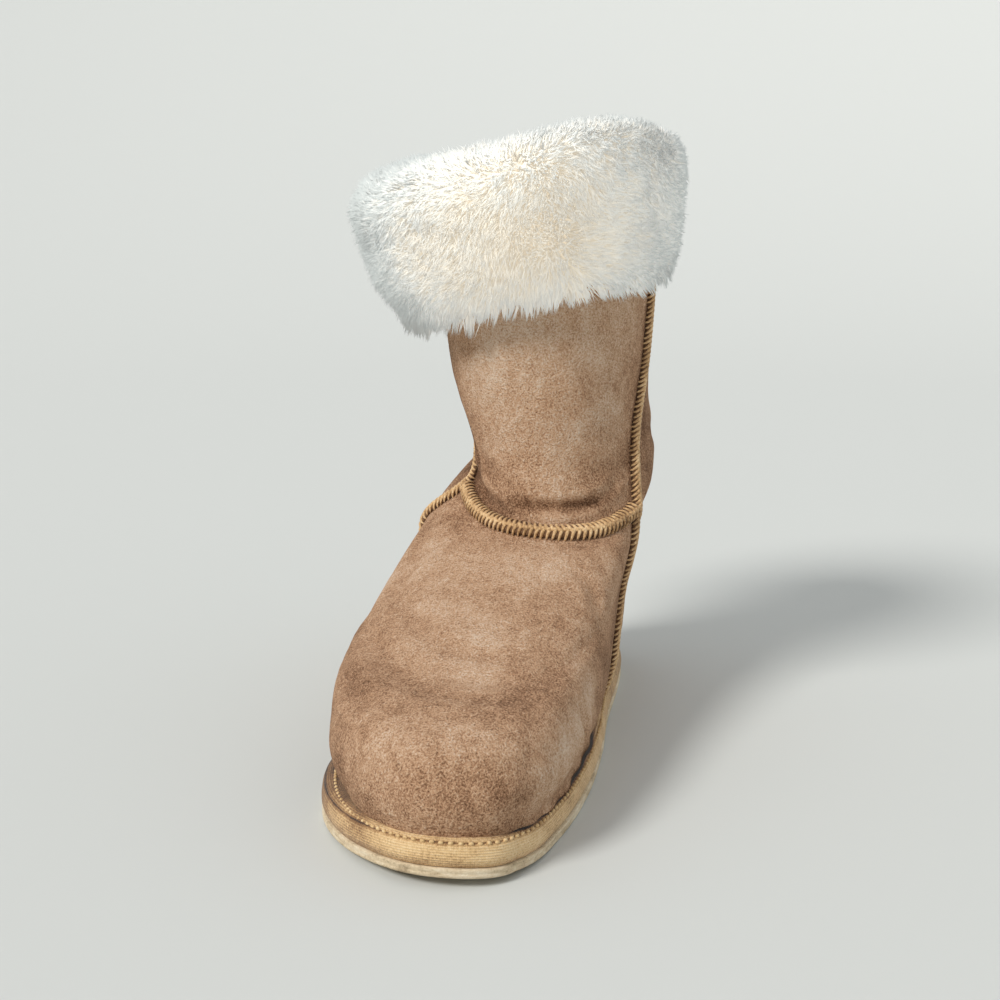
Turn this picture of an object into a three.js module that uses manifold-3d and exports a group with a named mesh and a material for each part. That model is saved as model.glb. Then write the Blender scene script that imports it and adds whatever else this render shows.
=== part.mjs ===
// A right-foot winter boot: a soft suede upper with raised whip-stitched seams, a folded-down fur cuff,
// a cloth-wrapped platform and a thin outsole. Millimetres, +Z up, floor at z = 0.
// The toe points to -Y and the big-toe side is +X. The origin is on the floor under the middle.
import * as THREE from "three";
import { mergeVertices } from "three/addons/utils/BufferGeometryUtils.js";
import Module from "manifold-3d";

const wasm = await Module();
wasm.setup();

// Driving dimensions of the foot.
const SOLE_LENGTH = 266;
const BALL_WIDTH = 94;
const INSTEP_HEIGHT = 84;
const TOE_SPRING = 4;
const HEEL_SPRING = 1.2;
const ARCH_RISE = 1.5;

// Driving dimensions of the shaft.
const ANKLE_WIDTH = 71;
const ANKLE_DEPTH = 103;
const COLLAR_WIDTH = 94;
const COLLAR_DEPTH = 118;
const COLLAR_HEIGHT = 217;
const SHAFT_CENTRE_Y = 62;
const ANKLE_SWAY = 2;
const COLLAR_SWAY = -9;
const COLLAR_FORWARD = 8;
const COLLAR_TILT = 0.13;

// Thicknesses and clearances.
const WALL = 3;
const CLEARANCE = 0.3;
const SEAM_CLEARANCE = 0.5;
const OUTSOLE_THICKNESS = 3.3;
const PLATFORM_HEIGHT = 9.6;
const INSOLE_THICKNESS = 5;

// Raised seams.
const INSTEP_SEAM_WIDTH = 6.4;
const INSTEP_SEAM_HEIGHT = 3;
const SIDE_SEAM_WIDTH = 4.6;
const SIDE_SEAM_HEIGHT = 2.2;
// Row at which a side seam starts, and the share of the cuff's drop at which it ends.
const SIDE_SEAM_FOOT = 0.35;
const SIDE_SEAM_COVER = 0.8;

// Folded fur cuff.
const CUFF_DROP = 45;
const PILE_LATERAL = 24;
const PILE_MEDIAL = 8;
const LINING_PILE = 5;

// Tread grooves under the outsole.
const GROOVE_WIDTH = 3.2;
const GROOVE_DEPTH = 1.4;
const GROOVE_PITCH = 11;
const GROOVE_BORDER = 9;

// Divisions of the round and of the seams, and a small angle and part of a row for slopes.
const COLUMNS = 48;
const INSTEP_SEAM_STEPS = 24;
const SIDE_SEAM_STEPS = 22;
const SMALL_ANGLE = 0.03;
const SMALL_ROW = 0.05;
const TURN = Math.PI * 2;

const PLATFORM_BASE = OUTSOLE_THICKNESS + CLEARANCE;
const PLATFORM_TOP = PLATFORM_BASE + PLATFORM_HEIGHT;
const FEATHER_Z = PLATFORM_TOP + CLEARANCE;
const FOOT_RISE = INSTEP_HEIGHT - FEATHER_Z;
const SHAFT_RISE = COLLAR_HEIGHT - INSTEP_HEIGHT;
const SEAM_CROWN = SEAM_CLEARANCE + SIDE_SEAM_HEIGHT;

// How the ball width is shared, how much fuller the outline is than an oval of that half width, and how
// far its middle lies to the big-toe side as a share of the ball width, from toe (0) to heel (1).
const LATERAL_SHARE = 0.6;
const OUTLINE = [
  { at: 0.0, lateral: 1.1, medial: 1.85, middle: 0.045 },
  { at: 0.06, lateral: 1.2, medial: 1.42, middle: 0.042 },
  { at: 0.16, lateral: 1.22, medial: 1.16, middle: 0.03 },
  { at: 0.3, lateral: 1.1, medial: 1.04, middle: 0.006 },
  { at: 0.5, lateral: 0.82, medial: 0.9, middle: -0.02 },
  { at: 0.64, lateral: 0.7, medial: 0.87, middle: -0.055 },
  { at: 0.8, lateral: 0.78, medial: 0.97, middle: -0.078 },
  { at: 0.92, lateral: 0.93, medial: 1.15, middle: -0.085 },
  { at: 1.0, lateral: 1.16, medial: 1.45, middle: -0.088 },
];

// Parts of the length where the underside keeps to the floor, leaves it at the arch and springs up.
const SOLE_LINE = { toe: -0.3, archFront: -0.08, archBack: 0.22, heel: 0.4 };

// The upper's sections below the ankle, from the feather line up. front and back are places along the
// sole's length, zFront and zBack heights as shares of the rise to the instep seam, lateral and medial
// half widths as shares of the ball width, and foot says how far the section keeps the sole's outline.
const FOOT_SECTIONS = [
  { front: -0.482, back: 0.476, zFront: 0.0, zBack: 0.0, lateral: 0.553, medial: 0.351, foot: 1 },
  { front: -0.493, back: 0.491, zFront: 0.07, zBack: 0.08, lateral: 0.57, medial: 0.383, foot: 1 },
  { front: -0.489, back: 0.496, zFront: 0.2, zBack: 0.24, lateral: 0.585, medial: 0.415, foot: 0.98 },
  { front: -0.462, back: 0.493, zFront: 0.35, zBack: 0.42, lateral: 0.582, medial: 0.417, foot: 0.92 },
  { front: -0.392, back: 0.483, zFront: 0.47, zBack: 0.62, lateral: 0.597, medial: 0.406, foot: 0.82 },
  { front: -0.288, back: 0.47, zFront: 0.585, zBack: 0.82, lateral: 0.595, medial: 0.397, foot: 0.66 },
  { front: -0.162, back: 0.458, zFront: 0.74, zBack: 1.02, lateral: 0.57, medial: 0.394, foot: 0.46 },
  { front: -0.045, back: 0.45, zFront: 0.9, zBack: 1.24, lateral: 0.53, medial: 0.396, foot: 0.24 },
];

// Sections of the shaft, from the instep seam up to the collar: heights as shares of the rise from the
// seam to the collar, how far the section has grown from the ankle's size to the collar's, how far its
// front stands forward as a share of the sole's length, and its slope as a share of the collar's.
const SHAFT_SECTIONS = [
  { name: "instep seam", zFront: 0.0, zBack: 0.26, growth: 0.1, forward: 0.018, foot: 0.08, tilt: -0.45 },
  { name: "ankle", zFront: 0.13, zBack: 0.35, growth: -0.03, forward: 0, foot: 0, tilt: -0.15 },
  { name: "above the ankle", zFront: 0.32, zBack: 0.46, growth: 0.1, forward: 0, foot: 0, tilt: 0.1 },
  { name: "shaft", zFront: 0.55, zBack: 0.62, growth: 0.4, forward: 0, foot: 0, tilt: 0.5 },
  { name: "under the collar", zFront: 0.8, zBack: 0.82, growth: 0.75, forward: 0, foot: 0, tilt: 0.85 },
  { name: "collar", zFront: 1.0, zBack: 1.0, growth: 1, forward: 0, foot: 0, tilt: 1 },
];
const SEAM_ROW = FOOT_SECTIONS.length;

// Where the side seams run: a place along the sole's length for each share of the way up the upper.
const SIDE_SEAM_PATH = [
  { at: 0.0, place: 0.08 },
  { at: 0.3, place: 0.1 },
  { at: 0.5, place: 0.125 },
  { at: 0.62, place: 0.145 },
  { at: 0.8, place: 0.2 },
  { at: 1.0, place: 0.215 },
];

// Slumped folds of the soft upper: the angle round it from the toe towards the big-toe side in degrees,
// the row it lies on, its reach both ways, and its depth as a share of the wall.
const FOLDS = [
  { name: "lateral pinch", angle: -96, row: 9.1, spread: 34, reach: 0.75, depth: -1.3 },
  { name: "lateral junction", angle: -72, row: 7.9, spread: 28, reach: 0.6, depth: 1.1 },
  { name: "lateral bulge", angle: -70, row: 10.4, spread: 30, reach: 0.8, depth: 0.9 },
  { name: "medial hollow", angle: 62, row: 9.6, spread: 30, reach: 0.7, depth: -0.6 },
  { name: "front fold", angle: 8, row: 8.95, spread: 46, reach: 0.34, depth: 0.6 },
  { name: "vamp crease", angle: -6, row: 4.75, spread: 62, reach: 0.32, depth: -0.5 },
  { name: "toe box", angle: 0, row: 3.6, spread: 70, reach: 0.8, depth: 0.5 },
  { name: "medial slump", angle: 44, row: 2.1, spread: 20, reach: 0.9, depth: 0.9 },
  { name: "heel crease", angle: 180, row: 8.2, spread: 50, reach: 0.6, depth: -0.8 },
];

// Side of the cloth-wrapped platform: height as a share of its own, and how far the edge stands in
// from the sole's outline as a share of its height.
const PLATFORM_SIDE = [
  { up: 0, inset: 0.1 },
  { up: 0.25, inset: -0.02 },
  { up: 0.62, inset: 0.03 },
  { up: 0.87, inset: 0.18 },
  { up: 1, inset: 0.44 },
];

// Cross-section of the fur cuff, up the outside from the hem, over into the mouth and back round the
// collar's edge. face is 1 outside the wall and -1 inside it, up is a height above the collar's edge as
// a share of the drop, and out a thickness as a share of the pile on that face.
const CUFF_SECTION = [
  { face: 1, up: -1.03, out: 0.4 },
  { face: 1, up: -0.96, out: 0.62 },
  { face: 1, up: -0.72, out: 0.86 },
  { face: 1, up: -0.4, out: 1.0 },
  { face: 1, up: -0.1, out: 1.06 },
  { face: 1, up: 0.11, out: 0.8 },
  { face: 1, up: 0.19, out: 0.25 },
  { face: -1, up: 0.16, out: 0.5 },
  { face: -1, up: 0.0, out: 1.1 },
  { face: -1, up: -0.3, out: 0.9 },
  { face: -1, up: -0.36, out: 0.4 },
  { face: -1, up: -0.36, out: 0 },
  { face: -1, up: 0, out: 0 },
  { face: 1, up: 0, out: 0 },
  { face: 1, up: -0.34, out: 0 },
  { face: 1, up: -0.6, out: 0, hang: 1 },
  { face: 1, up: -0.98, out: 0, hang: 1 },
];

// Places where the cuff's top stands higher: angle and spread in degrees, rise as a share of the drop.
const CUFF_HUMPS = [
  { angle: 48, spread: 42, rise: 0.14 },
  { angle: 150, spread: 45, rise: 0.1 },
  { angle: -105, spread: 60, rise: 0.1 },
];

// Rows of locks fused on the cuff: place along its section, number, length and radius as shares of the
// mean pile, and how much each leans down.
const LOCK_ROWS = [
  { place: 0.6, count: 34, length: 0.8, radius: 0.4, droop: 2.2 },
  { place: 1.9, count: 20, length: 0.45, radius: 0.6, droop: 0.9 },
  { place: 3.1, count: 20, length: 0.45, radius: 0.62, droop: 0.4 },
  { place: 4.3, count: 20, length: 0.45, radius: 0.6, droop: 0 },
  { place: 5.4, count: 18, length: 0.45, radius: 0.55, droop: -0.5 },
];

// Cross-section of a raised seam, from one edge over the crown and back under, in half widths and heights.
const SEAM_SECTION = [
  { across: -1, up: 0.3 },
  { across: -0.6, up: 0.86 },
  { across: 0, up: 1 },
  { across: 0.6, up: 0.86 },
  { across: 1, up: 0.3 },
  { across: 0.7, up: 0 },
  { across: 0, up: 0 },
  { across: -0.7, up: 0 },
];

const lerp = (a, b, k) => a + (b - a) * k;
const clamp01 = (k) => Math.min(1, Math.max(0, k));
const smooth = (k) => k * k * (3 - 2 * k);
const range = (count) => Array.from({ length: count }, (_, i) => i);

// Catmull-Rom interpolation between b and c.
function cubic(a, b, c, d, k) {
  return b + 0.5 * k * (c - a + k * (2 * a - 5 * b + 4 * c - d + k * (3 * (b - c) + d - a)));
}

// A column of a table read at a fractional row.
function column(rows, name, place) {
  const last = rows.length - 1;
  const at = Math.min(last, Math.max(0, place));
  const i = Math.min(last - 1, Math.floor(at));
  const value = (n) => rows[Math.min(last, Math.max(0, n))][name];
  return cubic(value(i - 1), value(i), value(i + 1), value(i + 2), at - i);
}

// A column of a table whose rows carry their own "at" values.
function columnAt(rows, name, at) {
  let i = 0;
  while (i < rows.length - 2 && at > rows[i + 1].at) i += 1;
  return column(rows, name, i + clamp01((at - rows[i].at) / (rows[i + 1].at - rows[i].at)));
}

// A repeatable number from 0 to 1.
function scatter(n, salt) {
  const s = Math.sin(n * 12.9898 + salt * 78.233) * 43758.5453;
  return s - Math.floor(s);
}

// Smallest signed difference between an angle and a direction in degrees.
function degreesFrom(angle, direction) {
  const turned = ((angle * 360) / TURN - direction + 180) % 360;
  return (turned + 360) % 360 - 180;
}

// Height of the sole line above the floor: the toe and the heel's back edge spring up.
function spring(y) {
  const toe = clamp01((SOLE_LINE.toe - y / SOLE_LENGTH) / (0.5 + SOLE_LINE.toe));
  const heel = clamp01((y / SOLE_LENGTH - SOLE_LINE.heel) / (0.5 - SOLE_LINE.heel));
  return TOE_SPRING * toe * toe + HEEL_SPRING * heel * heel;
}

// Height of the underside's hollow under the arch of the foot.
function arch(y) {
  const k = (y / SOLE_LENGTH - SOLE_LINE.archFront) / (SOLE_LINE.archBack - SOLE_LINE.archFront);
  return ARCH_RISE * (k > 0 && k < 1 ? Math.sin(Math.PI * k) ** 2 : 0);
}

const fullness = (side, t) => columnAt(OUTLINE, side > 0 ? "medial" : "lateral", t);
const middle = (t) => columnAt(OUTLINE, "middle", t) * BALL_WIDTH;

// A point of the sole's outline at an angle from the toe, moved inwards by inset.
function outlinePoint(angle, inset) {
  const raw = (a) => {
    const t = (1 - Math.cos(a)) / 2;
    const s = Math.sin(a);
    const half = BALL_WIDTH * (s > 0 ? 1 - LATERAL_SHARE : LATERAL_SHARE);
    return new THREE.Vector2(middle(t) + half * s * fullness(s, t), SOLE_LENGTH * (t - 0.5));
  };
  const along = raw(angle + SMALL_ANGLE).sub(raw(angle - SMALL_ANGLE)).normalize();
  return raw(angle).add(new THREE.Vector2(-along.y, along.x).multiplyScalar(inset));
}

// All sections of the upper in millimetres, foot and shaft in one list.
const footSection = (s) => ({
  front: s.front * SOLE_LENGTH,
  back: s.back * SOLE_LENGTH,
  zFront: FEATHER_Z + s.zFront * FOOT_RISE,
  zBack: FEATHER_Z + s.zBack * FOOT_RISE,
  lateral: s.lateral * BALL_WIDTH,
  medial: s.medial * BALL_WIDTH,
  foot: s.foot,
  sway: 0,
  tilt: 0,
});

function shaftSection(s) {
  const width = lerp(ANKLE_WIDTH, COLLAR_WIDTH, s.growth);
  const depth = lerp(ANKLE_DEPTH, COLLAR_DEPTH, s.growth);
  const centre = SHAFT_CENTRE_Y - COLLAR_FORWARD * s.zFront;
  return {
    front: centre - depth / 2 - s.forward * SOLE_LENGTH,
    back: centre + depth / 2,
    zFront: INSTEP_HEIGHT + s.zFront * SHAFT_RISE,
    zBack: INSTEP_HEIGHT + s.zBack * SHAFT_RISE,
    lateral: width / 2,
    medial: width / 2,
    foot: s.foot,
    sway: lerp(ANKLE_SWAY, COLLAR_SWAY, s.zFront),
    tilt: COLLAR_TILT * s.tilt,
  };
}

const SECTIONS = [...FOOT_SECTIONS.map(footSection), ...SHAFT_SECTIONS.map(shaftSection)];
const LAST_ROW = SECTIONS.length - 1;

// The upper's outer surface without folds, at an angle round it and a fractional row.
function basePoint(angle, row) {
  const read = (name) => column(SECTIONS, name, row);
  const t = (1 - Math.cos(angle)) / 2;
  const side = Math.sin(angle);
  const y = lerp(read("front"), read("back"), t);
  const foot = clamp01(read("foot"));
  const x = read(side > 0 ? "medial" : "lateral") * side * lerp(1, fullness(side, t), foot) + foot * middle(t);
  const z = lerp(read("zFront"), read("zBack"), smooth(t)) + spring(y) + read("tilt") * x;
  return new THREE.Vector3(x + read("sway"), y, z);
}

function baseNormal(angle, row) {
  const low = Math.max(0, row - SMALL_ROW);
  const high = Math.min(LAST_ROW, row + SMALL_ROW);
  const round = basePoint(angle + SMALL_ANGLE, row).sub(basePoint(angle - SMALL_ANGLE, row));
  const rise = basePoint(angle, high).sub(basePoint(angle, low));
  return round.cross(rise).normalize();
}

function foldDepth(angle, row) {
  const one = (f) =>
    f.depth * Math.exp(-((degreesFrom(angle, f.angle) / f.spread) ** 2) - ((row - f.row) / f.reach) ** 2);
  return WALL * FOLDS.reduce((sum, f) => sum + one(f), 0);
}

// A point at a distance outside the upper's surface, folds included.
function upperPoint(angle, row, out) {
  return basePoint(angle, row).addScaledVector(baseNormal(angle, row), out + foldDepth(angle, row));
}

// The angle at which the side seam crosses a row, on the big-toe side.
function seamAngle(row) {
  const front = column(SECTIONS, "front", row);
  const back = column(SECTIONS, "back", row);
  const y = columnAt(SIDE_SEAM_PATH, "place", row / LAST_ROW) * SOLE_LENGTH;
  return Math.acos(1 - 2 * clamp01((y - front) / (back - front)));
}

// The angle of a column where it crosses a row: even in front of the side seams and behind them.
function columnAngle(k, row) {
  const quarter = COLUMNS / 4;
  const mirrored = k > COLUMNS / 2;
  const j = mirrored ? COLUMNS - k : k;
  const seam = seamAngle(row);
  const angle = j <= quarter ? (seam * j) / quarter : seam + ((Math.PI - seam) * (j - quarter)) / quarter;
  return mirrored ? TURN - angle : angle;
}

// Indices of the faces that close a ring, seen from its upper side: rungs between its two halves.
function capFaces(count, ring) {
  const at = (i) => ring * count + ((i + count) % count);
  const faces = [at(0), at(1), at(-1)];
  for (let i = 1; i < count / 2; i += 1) {
    if (i + 1 < count / 2) faces.push(at(i), at(i + 1), at(-i - 1));
    else faces.push(at(i), at(i + 1), at(-i));
    if (i + 1 < count / 2) faces.push(at(i), at(-i - 1), at(-i));
  }
  return faces;
}

// A closed mesh from rings of points: each joins the next, and the last ring joins the first where
// loop is set. Otherwise both ends are closed.
function ringGeometry(rings, loop = false) {
  const count = rings[0].length;
  const index = [];
  const at = (ring, i) => (ring % rings.length) * count + (i % count);
  range(loop ? rings.length : rings.length - 1).forEach((r) => {
    range(count).forEach((i) => {
      index.push(at(r, i), at(r, i + 1), at(r + 1, i + 1), at(r, i), at(r + 1, i + 1), at(r + 1, i));
    });
  });
  if (!loop) index.push(...capFaces(count, 0).reverse(), ...capFaces(count, rings.length - 1));
  const geometry = new THREE.BufferGeometry();
  const positions = rings.flat().flatMap((p) => [p.x, p.y, p.z]);
  geometry.setAttribute("position", new THREE.Float32BufferAttribute(positions, 3));
  geometry.setIndex(index);
  return geometry;
}

function toSolid(geometry) {
  const bare = geometry.clone();
  bare.deleteAttribute("normal");
  bare.deleteAttribute("uv");
  const merged = mergeVertices(bare, 1e-4);
  const vertProperties = Float32Array.from(merged.attributes.position.array);
  const triVerts = Uint32Array.from(merged.index.array);
  return new wasm.Manifold(new wasm.Mesh({ numProp: 3, vertProperties, triVerts }));
}

function toGeometry(solid) {
  const mesh = solid.getMesh();
  const geometry = new THREE.BufferGeometry();
  geometry.setAttribute("position", new THREE.BufferAttribute(Float32Array.from(mesh.vertProperties), 3));
  geometry.setIndex(new THREE.BufferAttribute(Uint32Array.from(mesh.triVerts), 1));
  return geometry;
}

// A ring of the sole's outline at a height above the bent sole line.
const soleRing = (height, inset) =>
  range(COLUMNS).map((i) => {
    const p = outlinePoint((TURN * i) / COLUMNS, inset);
    return new THREE.Vector3(p.x, p.y, height + spring(p.y));
  });

// Grooves across the flat parts of the underside, kept off its border.
function treadSolid() {
  const floor = (height) => soleRing(height, GROOVE_BORDER).map((p) => p.setZ(height));
  const inside = toSolid(ringGeometry([floor(-GROOVE_DEPTH), floor(GROOVE_DEPTH)]));
  const grooves = (from, to) => {
    const count = Math.floor(((to - from) * SOLE_LENGTH - GROOVE_WIDTH) / GROOVE_PITCH);
    const middle = ((from + to) / 2) * SOLE_LENGTH;
    return range(count).map((i) => {
      const bar = new THREE.BoxGeometry(BALL_WIDTH * 2, GROOVE_WIDTH, GROOVE_DEPTH * 4);
      return toSolid(bar.translate(0, middle + (i - (count - 1) / 2) * GROOVE_PITCH, 0));
    });
  };
  const bars = [
    ...grooves(SOLE_LINE.toe, SOLE_LINE.archFront),
    ...grooves(SOLE_LINE.archBack, SOLE_LINE.heel),
  ];
  return wasm.Manifold.union(bars).intersect(inside);
}

function outsoleGeometry() {
  const edge = OUTSOLE_THICKNESS;
  const under = soleRing(0, edge * 0.2).map((p) => p.setZ(p.z + arch(p.y)));
  const rings = [under, soleRing(edge * 0.45, 0), soleRing(edge, 0)];
  return toGeometry(toSolid(ringGeometry(rings)).subtract(treadSolid()));
}

function platformGeometry() {
  const ring = (row) => soleRing(PLATFORM_BASE + row.up * PLATFORM_HEIGHT, row.inset * PLATFORM_HEIGHT);
  return ringGeometry(PLATFORM_SIDE.map(ring));
}

// The footbed lies on the platform inside the upper's lower edge.
function insoleGeometry() {
  const ring = (height, inset) =>
    range(COLUMNS).map((i) => {
      const p = upperPoint((TURN * i) / COLUMNS, 0, -(WALL + 3 * CLEARANCE + inset));
      return p.setZ(FEATHER_Z + height + spring(p.y));
    });
  const rings = [ring(0, 0), ring(INSOLE_THICKNESS * 0.7, 0), ring(INSOLE_THICKNESS, 1)];
  return ringGeometry(rings);
}

// Rows of the outer face are closer at the instep seam, where the vamp turns up into the shaft.
function upperGeometry() {
  const coarse = range(LAST_ROW + 1);
  const halves = range(LAST_ROW).map((i) => i + 0.5);
  const seam = [SEAM_ROW - 0.25, SEAM_ROW + 0.25];
  const outerRows = [...coarse, ...halves, ...seam].sort((a, b) => a - b);
  const ring = (row, out) => range(COLUMNS).map((k) => upperPoint(columnAngle(k, row), row, out));
  const outer = outerRows.map((row) => ring(row, 0));
  const inner = coarse.map((row) => ring(row, -WALL)).reverse();
  return ringGeometry([...outer, ...inner], true);
}

// The row that lies a drop below the collar's edge.
function rowBelow(drop) {
  let low = 0;
  let high = LAST_ROW;
  for (let i = 0; i < 30; i += 1) {
    const middle = (low + high) / 2;
    if (column(SECTIONS, "zFront", middle) < COLLAR_HEIGHT - drop) low = middle;
    else high = middle;
  }
  return high;
}

// A point of the fur cuff at a fractional place along its section. angleAt gives the angle at a row.
function cuffPoint(angleAt, place) {
  const at = Math.min(CUFF_SECTION.length - 1.001, Math.max(0, place));
  const i = Math.floor(at);
  const corner = (row) => {
    const height = row.up * CUFF_DROP;
    const level = rowBelow(Math.max(0, -height));
    const angle = angleAt(level);
    const pile = lerp(PILE_MEDIAL, PILE_LATERAL, (1 - Math.sin(angle)) / 2);
    const outside = CLEARANCE + (row.hang ?? 0) * SEAM_CROWN + row.out * pile;
    const out = row.face > 0 ? outside : -(WALL + CLEARANCE + row.out * LINING_PILE);
    const hump = CUFF_HUMPS.reduce(
      (sum, h) => sum + h.rise * Math.exp(-((degreesFrom(angle, h.angle) / h.spread) ** 2)), 0);
    const top = row.out > 0 ? clamp01(1 + row.up * 2) : 0;
    const point = upperPoint(angle, level, out);
    point.z += Math.max(0, height) + (row.up >= 0 ? CLEARANCE : 0) + hump * CUFF_DROP * top;
    return point;
  };
  return corner(CUFF_SECTION[i]).lerp(corner(CUFF_SECTION[i + 1]), at - i);
}

// One lock of fur: a flattened cone rooted inside the cuff.
function lockSolid(row, index, rowIndex) {
  const angle = (TURN * (index + 0.5 * (rowIndex % 2) + 0.4 * scatter(index, rowIndex))) / row.count;
  const near = (turned, up) => cuffPoint(() => angle + turned, row.place + up);
  const root = near(0, 0);
  const across = near(0.05, 0).sub(root).normalize();
  const along = near(0, 0.1).sub(near(0, -0.1)).normalize();
  const outward = across.clone().cross(along).normalize();
  const aim = outward.clone();
  aim.z -= row.droop;
  aim.addScaledVector(across, 0.5 * (scatter(index, rowIndex + 7) - 0.5)).normalize();
  const pile = (PILE_LATERAL + PILE_MEDIAL) / 2;
  const radius = row.radius * pile;
  const sink = radius * 0.8;
  const length = row.length * pile * (0.8 + 0.4 * scatter(index, rowIndex + 3)) + sink;
  const cone = new THREE.ConeGeometry(radius, length, 5).translate(0, length / 2 - sink, 0);
  const turn = new THREE.Quaternion().setFromUnitVectors(new THREE.Vector3(0, 1, 0), aim);
  const start = root.addScaledVector(outward, -radius * 0.5);
  return toSolid(cone.applyQuaternion(turn).translate(start.x, start.y, start.z));
}

// The shaft with room for its side seams, which the roots of the locks stay out of.
function shaftRoomSolid() {
  const room = SEAM_CROWN + 2 * CLEARANCE;
  const rows = [1.6, 1.3, 1, 0.7, 0.4, 0.2, 0].map((share) => rowBelow(CUFF_DROP * share));
  const rings = rows.map((row) => range(COLUMNS).map((k) => upperPoint(columnAngle(k, row), row, room)));
  const top = rings[rings.length - 1].map((p) => p.clone().setZ(p.z + WALL));
  return toSolid(ringGeometry([...rings, top]));
}

function cuffGeometry() {
  const rings = range(CUFF_SECTION.length).map((place) =>
    range(COLUMNS).map((k) => cuffPoint((level) => columnAngle(k, level), place)));
  const body = toSolid(ringGeometry(rings, true));
  const locks = LOCK_ROWS.flatMap((row, r) => range(row.count).map((i) => lockSolid(row, i, r)));
  return toGeometry(body.add(wasm.Manifold.union(locks).subtract(shaftRoomSolid())));
}

// A raised seam along steps on the upper: place gives the angle and row at a distance across it.
function seamGeometry(steps, width, height, place) {
  return ringGeometry(steps.map((step) => SEAM_SECTION.map((corner) => {
    const spot = place(step, (corner.across * width) / 2);
    return upperPoint(spot.angle, spot.row, SEAM_CLEARANCE + corner.up * height);
  })));
}

// Turns a distance along a row, or up a column, into a change of angle or row.
function angleFor(angle, row, distance) {
  const width = basePoint(angle + SMALL_ANGLE, row).distanceTo(basePoint(angle - SMALL_ANGLE, row));
  return (distance * 2 * SMALL_ANGLE) / width;
}

function rowFor(angle, row, distance) {
  const height = basePoint(angle, row + SMALL_ROW).distanceTo(basePoint(angle, row - SMALL_ROW));
  return (distance * 2 * SMALL_ROW) / height;
}

// The seam across the instep, from one side seam to the other. Its crown faces out as the angle grows
// and the section runs down the boot.
function instepSeamGeometry() {
  const meeting = seamAngle(SEAM_ROW);
  const end = meeting - angleFor(meeting, SEAM_ROW, SIDE_SEAM_WIDTH / 2 + SEAM_CLEARANCE);
  const steps = range(INSTEP_SEAM_STEPS + 1).map((i) => lerp(-end, end, i / INSTEP_SEAM_STEPS));
  return seamGeometry(steps, INSTEP_SEAM_WIDTH, INSTEP_SEAM_HEIGHT, (angle, across) => ({
    angle,
    row: SEAM_ROW - rowFor(angle, SEAM_ROW, across),
  }));
}

// A side seam from the platform to just under the cuff's hem.
function sideSeamGeometry(side) {
  const last = rowBelow(CUFF_DROP * SIDE_SEAM_COVER);
  const steps = range(SIDE_SEAM_STEPS + 1).map((i) => lerp(SIDE_SEAM_FOOT, last, i / SIDE_SEAM_STEPS));
  return seamGeometry(steps, SIDE_SEAM_WIDTH, SIDE_SEAM_HEIGHT, (row, across) => {
    const angle = side > 0 ? seamAngle(row) : TURN - seamAngle(row);
    return { angle: angle + angleFor(angle, row, across), row };
  });
}

const suede = () => new THREE.MeshStandardMaterial({ color: 0xab896f, roughness: 0.95, metalness: 0 });
const thread = () => new THREE.MeshStandardMaterial({ color: 0xb08a4f, roughness: 0.7, metalness: 0 });
const fur = () => new THREE.MeshStandardMaterial({ color: 0xe4dfcd, roughness: 1, metalness: 0 });
const wovenCloth = () => new THREE.MeshStandardMaterial({ color: 0xbf9560, roughness: 0.85, metalness: 0 });
const soleRubber = () => new THREE.MeshStandardMaterial({ color: 0xbaad99, roughness: 0.8, metalness: 0 });
const fleece = () => new THREE.MeshStandardMaterial({ color: 0xdcd6c6, roughness: 1, metalness: 0 });

const boot = new THREE.Group();

function addPart(name, geometry, material) {
  const mesh = new THREE.Mesh(geometry, material);
  mesh.name = name;
  boot.add(mesh);
}

addPart("outsole", outsoleGeometry(), soleRubber());
addPart("platform", platformGeometry(), wovenCloth());
addPart("insole", insoleGeometry(), fleece());
addPart("upper", upperGeometry(), suede());
addPart("fur_cuff", cuffGeometry(), fur());
addPart("instep_seam", instepSeamGeometry(), thread());
addPart("side_seam_medial", sideSeamGeometry(1), thread());
addPart("side_seam_lateral", sideSeamGeometry(-1), thread());

// The whole boot stands centred over the origin.
const middleOfBoot = new THREE.Box3().setFromObject(boot).getCenter(new THREE.Vector3());
boot.position.set(-middleOfBoot.x, -middleOfBoot.y, 0);

export default boot;
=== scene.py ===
"""Looks of a right-foot winter boot: napped suede with creases, overcast seams, a deep fur
cuff, a cloth-wrapped platform and a scuffed outsole. Lengths are in millimetres until a mesh is made."""
import math

import bpy
import mathutils
import numpy as np
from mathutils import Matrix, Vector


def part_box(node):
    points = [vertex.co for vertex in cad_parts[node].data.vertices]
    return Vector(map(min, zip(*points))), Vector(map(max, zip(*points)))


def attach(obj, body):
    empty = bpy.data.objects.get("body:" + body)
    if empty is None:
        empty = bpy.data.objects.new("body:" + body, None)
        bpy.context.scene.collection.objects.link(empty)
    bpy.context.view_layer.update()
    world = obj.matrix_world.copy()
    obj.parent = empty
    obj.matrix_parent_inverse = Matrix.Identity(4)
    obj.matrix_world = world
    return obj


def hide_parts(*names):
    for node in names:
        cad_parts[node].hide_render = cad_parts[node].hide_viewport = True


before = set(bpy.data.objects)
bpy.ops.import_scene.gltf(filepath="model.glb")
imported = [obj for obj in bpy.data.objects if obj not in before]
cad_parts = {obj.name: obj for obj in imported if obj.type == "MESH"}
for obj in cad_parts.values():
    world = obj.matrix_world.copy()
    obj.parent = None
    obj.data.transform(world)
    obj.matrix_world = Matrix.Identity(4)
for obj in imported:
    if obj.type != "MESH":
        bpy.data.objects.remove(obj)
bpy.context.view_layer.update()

# ---- sizes, as in the part's source
SOLE_LENGTH, BALL_WIDTH, INSTEP_HEIGHT = 266, 94, 84
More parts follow.
